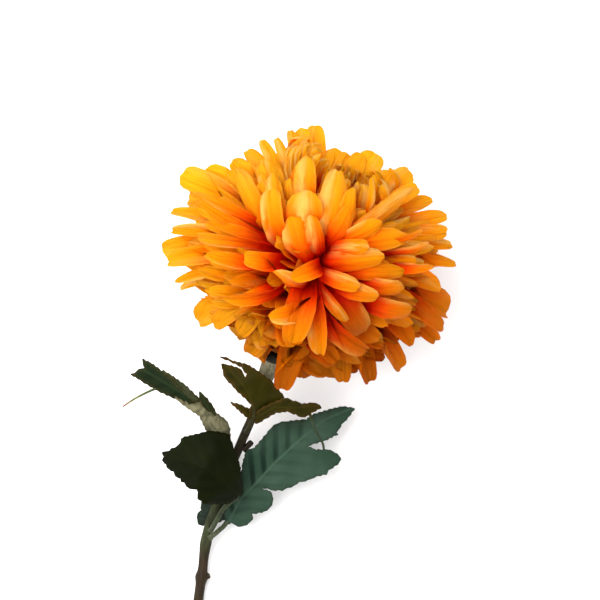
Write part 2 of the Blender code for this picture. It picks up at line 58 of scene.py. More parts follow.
# The stem's route in pixels, and past the photograph's lower edge by guess
STEM_ROUTE = (
    (256, 408), (250.5, 421), (240.5, 444), (229, 472), (217, 504), (209, 526), (205.5, 543), (203.5, 557),
    (202, 572), (200, 585), (198, 600), (193, 640), (189, 690), (187, 745), (188, 800), (190, 840),
)
STEM_RADIUS_TOP = 2.0
STEM_RADIUS_LOW = 2.3
STEM_TAPER = 120.0  # how far down it reaches its lower radius
STEM_UNEVEN = 0.06
STEM_UNEVEN_SCALE = 0.15
STEM_STEP = 1.6
STEM_SIDES = 20
NECK_SLOPE = 0.36  # how steeply the stem drops where it leaves the neck
# Node rings: the pixel they lie at, how far they swell, and half their length
NODE_RINGS = ((202, 578.5, 0.8, 2.2), (188.5, 700, 0.9, 2.2), (205.8, 544, 0.5, 4.0))
# The fork's short branch and the stubs: first and last pixel, rise between them, and radius
STEM_BRANCHES = (
    ((205.5, 545), (211, 537.5), 3.0, 1.5),
    ((243, 451), (251.8, 442.2), 1.0, 1.5),
    ((201.5, 579), (209.2, 577.2), 0.8, 1.5),
)
BRANCH_STEP = 0.8
BRANCH_FLARE = (1.25, 0.35, 3)  # thickness at its foot, and what it loses over this many steps
BRANCH_END = 0.8  # and its end is thinner by this share again


def linear(hex_colour):
    """An sRGB hex colour as linear RGBA."""
    parts = [int(hex_colour[i : i + 2], 16) / 255 for i in (1, 3, 5)]
    return (*[p / 12.92 if p <= 0.04045 else ((p + 0.055) / 1.055) ** 2.4 for p in parts], 1.0)


def add_node(tree, kind, feeds=None, **settings):
    """Adds a node with its settings. feeds gives its inputs: a node, a socket or a plain value."""
    made = tree.nodes.new(kind)
    for name, value in settings.items():
        setattr(made, name, value)
    for socket, value in (feeds or {}).items():
        if isinstance(value, bpy.types.Node):
            value = value.outputs[0]
        if isinstance(value, bpy.types.NodeSocket):
            tree.links.new(value, made.inputs[socket])
        else:
            made.inputs[socket].default_value = value
    return made


def unit(v):
    """The same way with a length of one."""
    return v / np.linalg.norm(v)


def placed(pixel, height):
    """A pixel of the photograph and a height above the table, as a point in millimetres."""
    x = HEAD_PLACE[0] + (pixel[0] - HEAD_PIXEL[0]) * PIXEL
    y = HEAD_PLACE[1] + (HEAD_PIXEL[1] - pixel[1]) * PIXEL
    return np.array((x, y, height), dtype=float)


lean, tilt = math.radians(AXIS_LEAN_DEG), math.radians(AXIS_TILT_DEG)
AXIS = np.array((math.sin(lean) * math.cos(tilt), math.cos(lean) * math.cos(tilt), math.sin(tilt)))
SIDE = unit(np.cross(AXIS, (0.0, 0.0, 1.0)))
FRONT = np.cross(SIDE, AXIS)
HEAD_CENTRE = placed(HEAD_PIXEL, HEAD_HEIGHT)


def smooth_route(points, step):
    """Points about a step apart on a Catmull-Rom curve through the given ones."""
    points = [np.array(p, dtype=float) for p in points]
    ends = [2 * points[0] - points[1]] + points + [2 * points[-1] - points[-2]]
    route = []
    for i in range(1, len(ends) - 2):
        a, b, c, d = ends[i - 1 : i + 3]
        parts = max(1, round(np.linalg.norm(c - b) / step))
        for j in range(parts):
            t = j / parts
            bend = 2 * a - 5 * b + 4 * c - d
            turn = 3 * b - a - 3 * c + d
            route.append(0.5 * (2 * b + (c - a) * t + bend * t * t + turn * t**3))
    route.append(points[-1])
    return route


def mesh_object(name, points, faces, edges=(), attributes=None):
    """A named object from points in millimetres, with values kept on its points by name."""
    mesh = bpy.data.meshes.new(name)
    mesh.from_pydata([tuple(MM * float(c) for c in p) for p in points], list(edges), list(faces))
    for key, values in (attributes or {}).items():
        values = np.array(values, dtype=float)
        kind, slot = ("FLOAT", "value") if values.ndim == 1 else ("FLOAT_VECTOR", "vector")
        mesh.attributes.new(key, kind, "POINT").data.foreach_set(slot, values.ravel())
    made = bpy.data.objects.new(name, mesh)
    bpy.context.scene.collection.objects.link(made)
    return made


def new_tree(name, inputs):
    """A geometry node tree with named inputs, and its input node."""
    tree = bpy.data.node_groups.new(name, "GeometryNodeTree")
    tree.interface.new_socket("Geometry", in_out="INPUT", socket_type="NodeSocketGeometry")
    tree.interface.new_socket("Geometry", in_out="OUTPUT", socket_type="NodeSocketGeometry")
    for key, kind in inputs.items():
        tree.interface.new_socket(key, in_out="INPUT", socket_type=kind)
    return tree, add_node(tree, "NodeGroupInput")


def grown(name, start, tree, inputs):
    """Runs a node tree on a starting mesh and keeps what it makes as a plain mesh object."""
    modifier = start.modifiers.new("grow", "NODES")
    modifier.node_group = tree
    for item in tree.interface.items_tree:
        if item.in_out == "INPUT" and item.name in inputs:
            modifier[item.identifier] = inputs[item.name]
    graph = bpy.context.evaluated_depsgraph_get()
    mesh = bpy.data.meshes.new_from_object(start.evaluated_get(graph), depsgraph=graph)
    mesh.name = name
    start.modifiers.clear()
    bpy.data.objects.remove(start, do_unlink=True)
    made = bpy.data.objects.new(name, mesh)
    bpy.context.scene.collection.objects.link(made)
    return made


def make_bar_tree():
    """A round bar swept along each route, as thick as the route's own radius says, with closed ends."""
    tree, enter = new_tree("bar_along_route", {"Sides": "NodeSocketInt", "Material": "NodeSocketMaterial"})
    route = add_node(tree, "GeometryNodeMeshToCurve", {"Mesh": enter.outputs["Geometry"]})
    radius = add_node(tree, "GeometryNodeInputNamedAttribute", {"Name": "radius"}, data_type="FLOAT")
    sized = add_node(tree, "GeometryNodeSetCurveRadius", {"Curve": route, "Radius": radius})
    ring = add_node(
        tree, "GeometryNodeCurvePrimitiveCircle", {"Resolution": enter.outputs["Sides"], "Radius": 1.0}
    )
    bar = add_node(
        tree, "GeometryNodeCurveToMesh",
        {"Curve": sized, "Profile Curve": ring, "Scale": radius, "Fill Caps": True},
    )
    smooth = add_node(tree, "GeometryNodeSetShadeSmooth", {"Geometry": bar})
    painted = add_node(
        tree, "GeometryNodeSetMaterial", {"Geometry": smooth, "Material": enter.outputs["Material"]}
    )
    real = add_node(tree, "GeometryNodeRealizeInstances", {"Geometry": painted})
    add_node(tree, "NodeGroupOutput", {"Geometry": real})
    return tree


BAR_TREE = make_bar_tree()


def bars(name, routes, sides, made_of):
    """Round bars in one piece. Each route is its points, its radii, and what "along" says at its two ends."""
    points, edges, radii, along = [], [], [], []
    for line, thickness, reach in routes:
        first = len(points)
        points += list(line)
        radii += [MM * float(r) for r in thickness]
        along += list(np.linspace(reach[0], reach[1], len(line)))
        edges += [(i, i + 1) for i in range(first, len(points) - 1)]
    start = mesh_object(name + "_route", points, (), edges, {"radius": radii, "along": along})
    made = grown(name, start, BAR_TREE, {"Sides": sides, "Material": made_of})
    for vertex in made.data.vertices:
        vertex.co.z = max(0.0, vertex.co.z)
    return made


def stem_route():
    """The stem's middle line, from just under the neck down to where it lies along the table."""
    start = HEAD_CENTRE + (NECK_END - GAP) * AXIS
    flat = [start[:2]] + [placed(pixel, 0.0)[:2] for pixel in STEM_ROUTE]
    gone = [0.0]
    for a, b in zip(flat, flat[1:]):
        gone.append(gone[-1] + np.linalg.norm(b - a))
    drop = start[2] - STEM_RADIUS_LOW
    reach = 2 * drop / NECK_SLOPE
    route = []
    for place, way in zip(flat, gone):
        left = max(0.0, 1 - way / reach)
        route.append((*place, STEM_RADIUS_LOW + drop * left * left))
    return smooth_route(route, STEM_STEP)


STEM_LINE = stem_route()


def stem_radius(i):
    """Radius at a point of the stem's line, swollen at the node rings and slightly uneven between them."""
    place = STEM_LINE[i]
    gone = i * STEM_STEP
    radius = STEM_RADIUS_TOP + (STEM_RADIUS_LOW - STEM_RADIUS_TOP) * min(1.0, gone / STEM_TAPER)
    for x, y, swell, length in NODE_RINGS:
        away = np.linalg.norm(place[:2] - placed((x, y), 0.0)[:2])
        radius += swell * math.exp(-((away / length) ** 2))
    return radius + STEM_UNEVEN * noise.noise(Vector(place) * STEM_UNEVEN_SCALE)


def nearest_on_stem(pixel):
    """Which point of the stem's line shows nearest to a pixel."""
    place = placed(pixel, 0.0)[:2]
    return min(range(len(STEM_LINE)), key=lambda k: np.linalg.norm(STEM_LINE[k][:2] - place))


def set_stops(ramp, stops):
    """Gives a colour ramp its stops, each a place and an sRGB hex colour."""
    marks = ramp.color_ramp.elements
    marks.remove(marks[1])
    for i, (place, colour) in enumerate(stops):
        mark = marks[0] if i == 0 else marks.new(place)
        mark.position = place
        mark.color = linear(colour)


def new_material(name):
    """A new material, its node tree and its Principled shader."""
    made = bpy.data.materials.new(name)
    made.use_nodes = True
    return made, made.node_tree, made.node_tree.nodes["Principled BSDF"]


GRAIN_WIDTH = 1.11  # the moulded grain's streaks, where "finer" is 1: across the stem
GRAIN_LENGTH = 6.25  # and along it


def moulded_plastic(name, colours, finer):
    """Injection-moulded PE, coloured along its length, with darker paint rubbed into its grain."""
    made, tree, shader = new_material(name)
    along = add_node(tree, "ShaderNodeAttribute", attribute_name="along")
    ramp = add_node(tree, "ShaderNodeValToRGB", {"Fac": along.outputs["Fac"]})
    set_stops(ramp, colours)
    place = add_node(tree, "ShaderNodeTexCoord").outputs["Object"]
    across, length = 1 / (GRAIN_WIDTH * MM), 1 / (GRAIN_LENGTH * MM)
    stretch = add_node(tree, "ShaderNodeMapping", {"Vector": place, "Scale": (across, length, across)})
    streaks = add_node(
        tree, "ShaderNodeTexNoise", {"Vector": stretch, "Scale": finer, "Detail": 4.0}
    ).outputs["Fac"]
    wash = add_node(
        tree, "ShaderNodeMapRange",
        {"Value": streaks, "From Min": 0.35, "From Max": 0.7, "To Min": 0.55, "To Max": 1.25},
    )
    tinted = add_node(
        tree, "ShaderNodeMix", {0: 1.0, 6: ramp.outputs["Color"], 7: wash},
        data_type="RGBA", blend_type="MULTIPLY",
    )
    tree.links.new(tinted.outputs[2], shader.inputs["Base Color"])
    bump = add_node(tree, "ShaderNodeBump", {"Strength": 0.5, "Distance": 0.4 * MM, "Height": streaks})
    tree.links.new(bump.outputs[0], shader.inputs["Normal"])
    shader.inputs["Roughness"].default_value = 0.6
    shader.inputs["Specular IOR Level"].default_value = 0.12
    return made


# PE plastic over wire, moulded with a bark grain: the streaks run along it and keep it matt
STEM_PLASTIC = moulded_plastic(
    "moulded_pe_bark",
    (
        (0.0, "#23210a"), (0.16, "#1b1206"), (0.26, "#282d16"), (0.36, "#2f331d"), (0.40, "#2a1f11"),
        (1.0, "#2f2010"),
    ),
    0.8,
)

stem_bars = [(STEM_LINE, [stem_radius(i) for i in range(len(STEM_LINE))], (0.0, 1.0))]
for start, end, rise, radius in STEM_BRANCHES:
    near = nearest_on_stem(start)
    height = STEM_LINE[near][2]
    share = near / len(STEM_LINE)
    line = smooth_route([placed(start, height), placed(end, height + rise)], BRANCH_STEP)
    foot, loss, steps = BRANCH_FLARE
    widths = [radius * (foot - loss * min(1.0, j / steps)) for j in range(len(line))]
    widths[-1] *= BRANCH_END
    stem_bars.append((line, widths, (share, share)))
stem = bars("stem_moulding", stem_bars, STEM_SIDES, STEM_PLASTIC)
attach(stem, "root")
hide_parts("stem")


# The calyx
# A moulded plastic cup under the head: a ring of short pointed sepals, dark at the rim, on a ribbed neck
# that narrows down to the stem. The neck is pushed over the stem's end.

# Its rings from the sepals' rim down: distance along the axis from the head's middle, radius, and how
# deep the gaps between the sepals cut into it
CALYX_RINGS = (
    (-48.4, 7.0, 0.0), (-49.4, 8.8, 0.16), (-50.3, 9.6, 0.22), (-50.9, 9.5, 0.22), (-51.6, 8.4, 0.22),
    (-52.6, 6.4, 0.08), (-54.0, 4.6, 0.0), (-57.0, 4.1, 0.0), (-60.0, 3.9, 0.0), (-63.0, 3.6, 0.0),
    (-66.0, 3.4, 0.0), (-69.0, 3.25, 0.0), (-70.0, 3.1, 0.0),
)
CALYX_SIDES = 64
CALYX_SEPALS = 8
NECK_FROM = -53.0
NECK_RIBS = 7
NECK_RIB_HEIGHT = 0.16


def barrel_faces(rings, sides):
    """The faces of a closed barrel made of rings of points, where each ring stands over the one before it."""
    faces = [tuple(range(sides))[::-1], tuple(range((rings - 1) * sides, rings * sides))]
    for low in range(0, (rings - 1) * sides, sides):
        for k in range(sides):
            after = (k + 1) % sides
            faces.append((low + k, low + after, low + sides + after, low + sides + k))
    return faces


points, along = [], []
for distance, radius, tooth in CALYX_RINGS:
    for k in range(CALYX_SIDES):
        turn = 2 * math.pi * k / CALYX_SIDES
        reach = radius * (1 - tooth * (0.5 + 0.5 * math.cos(CALYX_SEPALS * turn)))
        reach += NECK_RIB_HEIGHT * math.cos(NECK_RIBS * turn) * (distance < NECK_FROM)
        outward = math.cos(turn) * SIDE + math.sin(turn) * FRONT
        points.append(HEAD_CENTRE + distance * AXIS + reach * outward)
        along.append((distance - CALYX_RINGS[0][0]) / (CALYX_RINGS[-1][0] - CALYX_RINGS[0][0]))
# Known fault: turned over like this, its faces point inwards, as the receptacle's and the petals' do
faces = [(face[0], *face[:0:-1]) for face in barrel_faces(len(CALYX_RINGS), CALYX_SIDES)]
calyx = mesh_object("calyx_cup", points, faces, (), {"along": along})
calyx.data.shade_smooth()
# The same PE as the stem, washed grey on the neck, with dark paint left on the sepals
calyx.data.materials.append(
    moulded_plastic(
        "moulded_pe_calyx",
        ((0.0, "#100e08"), (0.2, "#16140a"), (0.27, "#817a62"), (0.6, "#6d664c"), (1.0, "#38351c")),
        1.4,
    )
)
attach(calyx, "root")
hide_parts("calyx")


# The leaves
# Four die-cut leaves of one pressed cloth, lobed and toothed, each glued to a moulded rib whose stalk is
# plugged into the stem. The press leaves the side veins as grooves with the cloth puffed up between them.
# On two leaves the rib's end has come loose and stands free of the blade.

STALK_FOOT = 1.5
CLOTH_THICKNESS = 0.6
LEAF_GRID = 1.7
EDGE_CLEAR = 0.45  # points inside a blade keep this share of the grid's step off its edge
TOOTH_LENGTH = 2.3
TOOTH_DEPTH = 0.42
TOOTH_SHAPE = ((0.15, 0.0), (0.8, 1.0))  # where along a tooth its valley and tip lie, and how far out
FULL_TEETH = 4.0  # edges shorter than this have shallower teeth
VEIN_SPACING = 7.5
VEIN_SLANT = 0.9
FOLD_FADE = (34.0, 62.0)  # how far up the rib, in mm, the pressed folds begin to fade and are nearly gone
FOLD_LEFT = 0.25  # what is left of them beyond that
FOLD_RIGHT = 0.5  # and what is left of them right of the rib
PUFF_FROM_RIB = 3.0
PUFF_FROM_EDGE = 4.0
RIB_GROOVE = 0.5
RIB_GROOVE_WIDTH = 0.9
CRINKLE = 0.35
CRINKLE_SCALE = 0.12
RIM_WIDTH = 0.6
RIB_STEP = 1.5
RIB_SIDES = 12
RIB_SHADES_END = 0.4  # a rib's shades run this far through the leaf's list, and a loose end's through all

# Each leaf has its colours, the pixel where its stalk leaves the stem (none where the stalk comes out of the
# fork's short branch), its blades, and its bars: a stalk with its rib, then a loose end, each with its radius
# at both ends. A blade has its outline in pixels and its rib in pixels with a height in mm. "left" and
# "right" say how steeply it rises off the rib to either side, "puff" how high its folds stand, "steep" that
# its thickness is measured upright, and "under" how much of its upper face shows the pale underside.
# Each leaf's cloth colours are the one cloth painted lighter or darker as painted light and shade, and its
# groove colour is painted shade in the grooves
LEAF_RIGHT = {
    "name": "leaf_right",
    "slot": "leaf_cloth_teal",
    "cloth": {
        # Its underside colour is darkened as painted shade, for the small lobe left of the stalk, whose upper
        # face wears it
        "upper": "#35483b", "deep": "#273b2e", "under": "#222b23", "vein": "#3a4f40", "groove": "#112118",
        "rim": "#293427",
    },
    "rib_shades": ((0.0, "#454b36"), (0.4, "#3a4630")),
    "seat": None,
    "blades": (
        {
            "outline": (
                (226, 526), (231, 524), (240, 528), (248, 525), (253, 519), (252, 514.7), (263, 513),
                (268, 510.5), (272.4, 504.5), (272.8, 498), (270.5, 492.5), (260.3, 489.3), (266.8, 489),
                (270.5, 491), (283.5, 491), (287, 489), (292.7, 487.4), (298.7, 483), (307.5, 481),
                (312, 479.6), (316.7, 477), (327.4, 474.5), (328.8, 471), (339, 464), (341.3, 459),
                (336, 453.7), (328.8, 450.4), (316.7, 450.4), (307.5, 447.6), (313, 444.4), (324, 441.6),
                (333.4, 437), (338.5, 435), (337, 433), (341.7, 425), (348, 418.5), (355, 409),
                (343.6, 407), (333.4, 409), (313, 415), (306.6, 420), (289, 421.7), (279.7, 423),
                (272.3, 427), (266.8, 434), (254.8, 448), (246, 452), (243, 462), (240, 480), (232, 500),
                (224, 516),
            ),
            "rib": (
                (226, 528, 11), (240, 500, 15), (255, 485, 18), (275, 463, 21), (300, 440, 21),
                (325, 420, 18), (354, 408, 14),
            ),
            "left": -0.15, "right": -0.20, "puff": 2.0, "steep": False, "under": 0.0,
        },
        {
            "outline": (
                (226, 520), (216, 524), (203.4, 527), (198, 526), (196.4, 520), (197, 514), (200.6, 511),
                (200.6, 503.6), (206, 497), (222, 494), (234, 500),
            ),
            "rib": ((232, 508, 12), (215, 512, 8), (198, 518, 5)),
            # This lobe's upper face wears the underside's colour as painted shade
            "left": -0.05, "right": -0.05, "puff": 0.7, "steep": False, "under": 1.0,
        },
    ),
    "bars": (
        (
            (
                (208.5, 539.5, 15.6), (213, 536.2, 15.2), (219, 531, 13.2), (226, 524, 10.6),
                (240, 500, 13.4), (255, 485, 16.4), (275, 463, 19.4),
            ),
            1.15, 0.9,
        ),
    ),
}

LEAF_FRONT = {
    "name": "leaf_front",
    "slot": "leaf_cloth_dark",
    "cloth": {
        "upper": "#0c1300", "deep": "#080c00", "under": "#131603", "vein": "#0c1200", "groove": "#080c00",
        "rim": "#121105",
    },
    "rib_shades": ((0.0, "#3c4430"), (0.3, "#1c2409")),
    "seat": (211, 531),
    "blades": (
        {
            "outline": (
                (228.7, 434.8), (216, 431.7), (206.2, 431.7), (199.2, 434), (183, 437.6), (180.3, 439),
                (180, 442.5), (177.5, 445.4), (174.6, 447.8), (170.4, 448.5), (169, 451), (161, 453.4),
                (163, 457), (161.3, 460.8), (165.5, 465), (166, 468), (173, 472), (174.6, 476.6),
                (180, 479), (180.6, 482.5), (183.8, 483), (186, 487), (191.5, 489.6), (196.4, 490),
                (197.5, 492.4), (198, 500), (201, 501.5), (203.4, 504), (214, 504.6), (228.7, 504.3),
                (242, 494), (240, 467), (233.6, 449),
            ),
            "rib": ((240, 498, 27), (226, 484, 34), (205, 468, 38), (180, 459, 33), (161, 455, 26)),
            "left": 0.25, "right": -0.3, "puff": 0.7, "steep": False, "under": 0.0,
        },
    ),
    "bars": (
        (
            (
                (216.5, 521, 17), (222, 511, 19), (231, 502, 22.4), (237, 497, 25), (226, 484, 32.2),
                (205, 468, 36.4),
            ),
            1.2, 0.8,
        ),
    ),
}

LEAF_LEFT = {
    "name": "leaf_left",
    "slot": "leaf_cloth_grey",
    "cloth": {
        "upper": "#192514", "deep": "#101a09", "under": "#79765a", "vein": "#1f2b17", "groove": "#0e1809",
        "rim": "#3a3014",
    },
    "rib_shades": ((0.0, "#3c4030"), (0.3, "#5d5d44"), (0.5, "#3a4a26"), (0.8, "#6b6a3c"), (1.0, "#8c5030")),
    "seat": (230, 471),
    "blades": (
        {
            "outline": (
                (141.5, 358.7), (152, 364), (161, 370.7), (175, 383), (188, 394), (200, 401), (190, 404),
                (183, 404), (175, 399), (168, 396), (156.5, 390.6), (152, 388), (139, 380), (129, 374),
                (134, 373), (137, 370), (144, 368),
            ),
            "rib": ((196, 402, 37), (170, 386, 36), (150, 374, 32), (132, 364, 26)),
            "left": -0.5, "right": 0.5, "puff": 0.5, "steep": True, "under": 0.0,
        },
        {
            "outline": (
                (174.5, 397), (184, 402), (198, 400), (208, 406), (217, 414), (226, 421), (229.5, 428),
                (230, 440), (226, 452), (214, 452), (208, 438), (206, 431), (199, 416), (190, 410),
                (184, 406),
            ),
            "rib": ((216, 452, 16), (212, 430, 25), (200, 412, 34), (180, 399, 37)),
            "left": 0.5, "right": -0.5, "puff": 0.5, "steep": True, "under": 1.0,
        },
        {
            "outline": ((198.7, 391.5), (206, 397.5), (213.7, 408), (216, 416), (204, 408), (200, 400)),
            "rib": ((210, 412, 34), (199, 392, 40)),
            "left": 0.1, "right": 0.1, "puff": 0.7, "steep": False, "under": 0.0,
        },
        {
            "outline": ((162, 370), (172, 376), (186, 386), (200, 400), (194, 402), (182, 391), (170, 380)),
            "rib": ((198, 401, 38), (162, 370, 36)),
            "left": 0.1, "right": 0.1, "puff": 0.7, "steep": False, "under": 0.1,
        },
    ),
    "bars": (
        (((223, 460, 17.5), (217, 448, 17.4), (212, 430, 23), (200, 412, 32)), 1.2, 0.9),
        (
            ((178, 388, 33.8), (165, 387, 32.4), (154.8, 389, 31.5), (136, 398, 29.5), (122.5, 406.8, 26)),
            0.8, 0.4,
        ),
    ),
}

LEAF_UPPER = {
    "name": "leaf_upper",
    "slot": "leaf_cloth_olive",
    "cloth": {
        "upper": "#292501", "deep": "#1c1a00", "under": "#343017", "vein": "#2d2804", "groove": "#1c1a00",
        "rim": "#4c3215",
    },
    "rib_shades": ((0.0, "#24200a"), (0.35, "#2c2804"), (0.5, "#2a3824"), (1.0, "#24301e")),
    "seat": (247.5, 429),
    "blades": (
        {
            "outline": (
                (221, 364), (230, 365.5), (239.8, 368.7), (245.2, 377), (246.5, 374), (241, 367),
                (228, 360.5), (218.8, 356.9), (224, 357), (233, 361), (248, 365), (257.4, 371),
                (273.5, 383), (284.6, 398), (276, 408), (266, 414), (258, 420), (250, 418), (249, 410),
                (251.7, 405), (244.4, 398), (234.5, 388.6), (230.7, 384), (224, 377), (222.6, 370),
            ),
            "rib": ((254, 420, 33), (252, 402, 41), (243, 385, 44), (224, 364, 39)),
            "left": 0.05, "right": 0.05, "puff": 0.7, "steep": False, "under": 0.0,
        },
        {
            "outline": ((230, 402.4), (240, 404.7), (252, 411), (254, 420), (246.7, 417.7), (238, 410)),
            "rib": ((252, 418, 34), (230, 402, 38)),
            "left": 0.05, "right": 0.05, "puff": 0.7, "steep": False, "under": 0.0,
        },
        {
            "outline": (
                (256, 424.6), (263.6, 420), (275.8, 413), (287, 411.6), (295.7, 414.6), (298.7, 417),
                (305.6, 417), (311.7, 413), (321.7, 407.7), (320, 405), (314, 403), (302.6, 404),
                (293.4, 401), (285.7, 398), (275, 402), (262, 408), (252, 416),
            ),
            "rib": ((252, 420, 33), (275, 407, 42), (295, 408, 44), (320, 406, 40)),
            "left": 0.6, "right": -0.6, "puff": 0.5, "steep": True, "under": 0.0,
        },
    ),
    "bars": (
        (((250, 425, 30), (254, 414, 35.4), (252, 402, 39.3), (243, 385, 42.4)), 1.2, 0.8),
        (((285, 409, 41), (308, 413, 38.8), (314.8, 429, 36), (322.5, 443, 31), (324, 450, 28)), 0.8, 0.5),
    ),
}


def inside(place, outline):
    """Whether a flat point lies in a closed outline."""
    x, y = place
    found = False
    for (ax, ay), (bx, by) in zip(outline, outline[1:] + outline[:1]):
        if (ay > y) != (by > y) and x < ax + (y - ay) / (by - ay) * (bx - ax):
            found = not found
    return found


def rib_offset(place, rib):
    """The rib beside a flat point: its height, the point's signed distance, and how far along it lies."""
    best = None
    gone = 0.0
    for a, b in zip(rib, rib[1:]):
        along = b[:2] - a[:2]
        length = float(np.linalg.norm(along))
        t = float(np.clip(np.dot(place - a[:2], along) / length**2, 0, 1))
        away = float(np.linalg.norm(place - a[:2] - t * along))
        if best is None or away < best[0]:
            cross = along[0] * (place[1] - a[1]) - along[1] * (place[0] - a[0])
            best = (away, a[2] + t * (b[2] - a[2]), math.copysign(1.0, cross), gone + t * length)
        gone += length
    return best[1], best[2] * best[0], best[3]


def toothed(outline):
    """The cut edge, with small teeth that point one way between the outline's own corners."""
    edge = []
    for a, b in zip(outline, outline[1:] + outline[:1]):
        a, b = np.array(a), np.array(b)
        run = b - a
        length = float(np.linalg.norm(run))
        outward = np.array((run[1], -run[0])) / length
        teeth = int(length / TOOTH_LENGTH)
        edge.append(tuple(a))
        for k in range(teeth):
            for share, depth in TOOTH_SHAPE:
                if k == 0 and depth == 0.0:
                    continue
                out = outward * depth * TOOTH_DEPTH * min(1.0, length / FULL_TEETH)
                edge.append(tuple(a + run * (k + share) / teeth + out))
    return edge


def leaf_blade(blade):
    """A leaf's blade, pressed with grooves over its veins: points, faces and values for its cloth."""
    corners = [tuple(placed(p, 0.0)[:2]) for p in blade["outline"]]
    turned = sum(a[0] * b[1] - b[0] * a[1] for a, b in zip(corners, corners[1:] + corners[:1]))
    if turned < 0:
        corners = corners[::-1]
    outline = toothed(corners)
    rib = [placed(p[:2], p[2]) for p in blade["rib"]]
    low, high = np.min(outline, axis=0), np.max(outline, axis=0)
    inner = []
    edge_points = np.array(outline)
    for r in range(int((high[1] - low[1]) / LEAF_GRID) + 1):
        for c in range(int((high[0] - low[0]) / LEAF_GRID) + 1):
            spot = (low[0] + (c + 0.5 * (r % 2)) * LEAF_GRID, low[1] + (r + 0.5) * LEAF_GRID)
            clear = np.min(np.linalg.norm(edge_points - spot, axis=1)) > LEAF_GRID * EDGE_CLEAR
            if clear and inside(spot, outline):
                inner.append(spot)
    count = len(outline)
    edges = [(i, (i + 1) % count) for i in range(count)]
    spots, _, triangles, *_ = delaunay_2d_cdt([Vector(p) for p in outline + inner], edges, [], 1, 1e-4)
    points, values = [], {"away": [], "gone": [], "rim": [], "under": []}
    steep = math.hypot(blade["left"], 1.0) if blade["steep"] else 1.0
    for sign in (1, -1):
        for spot in spots:
            place = np.array(spot)
            height, away, gone = rib_offset(place, rib)
            slope = blade["left"] if away > 0 else blade["right"]
            phase = (gone - VEIN_SLANT * abs(away)) / VEIN_SPACING
            between = 0.5 - 0.5 * math.cos(2 * math.pi * phase)
            from_rib = min(1.0, abs(away) / PUFF_FROM_RIB)
            from_edge = float(np.min(np.linalg.norm(edge_points - place, axis=1)))
            folded = np.interp(gone, FOLD_FADE, (1.0, FOLD_LEFT)) * (1.0 if away > 0 else FOLD_RIGHT)
            puff = blade["puff"] * folded * between * from_rib * min(1.0, from_edge / PUFF_FROM_EDGE)
            groove = RIB_GROOVE * math.exp(-((away / RIB_GROOVE_WIDTH) ** 2))
            crinkle = CRINKLE * noise.noise(Vector((place[0], place[1], height)) * CRINKLE_SCALE)
            middle = max(CLOTH_THICKNESS, height + slope * abs(away) + puff - groove + crinkle)
            points.append((place[0], place[1], middle + sign * CLOTH_THICKNESS / 2 * steep))
            values["away"].append(away)
            values["gone"].append(gone)
            values["rim"].append(math.exp(-from_edge / RIM_WIDTH))
            values["under"].append(blade["under"] if sign == 1 else 1.0 - blade["under"])
    total = len(spots)
    faces = [tuple(t) for t in triangles]
    faces += [tuple(i + total for i in reversed(t)) for t in triangles]
    sides = {(t[i], t[(i + 1) % 3]) for t in triangles for i in range(3)}
    for a, b in sorted(sides):
        if (b, a) not in sides:
            faces.append((b, a, a + total, b + total))
    return points, faces, values


def seated_on_stem(pixel, aim):
    """The first two points of a stalk: it leaves the stem squarely, a gap off its surface, towards aim."""
    i = nearest_on_stem(pixel)
    ahead = unit(STEM_LINE[i + 1] - STEM_LINE[i - 1])
    toward = aim - STEM_LINE[i]
    out = unit(toward - np.dot(toward, ahead) * ahead)
    surface = stem_radius(i) + GAP
    return [STEM_LINE[i] + surface * out, STEM_LINE[i] + (surface + STALK_FOOT) * out]


CLOUD_WIDTH = 18.2  # the clouds of its uneven printing
CREASE_WIDTH = 6.25  # the folds of its crumpled underside
WEAVE_WIDTH = 0.714  # its weave, drawn coarser than the real one so that it shows


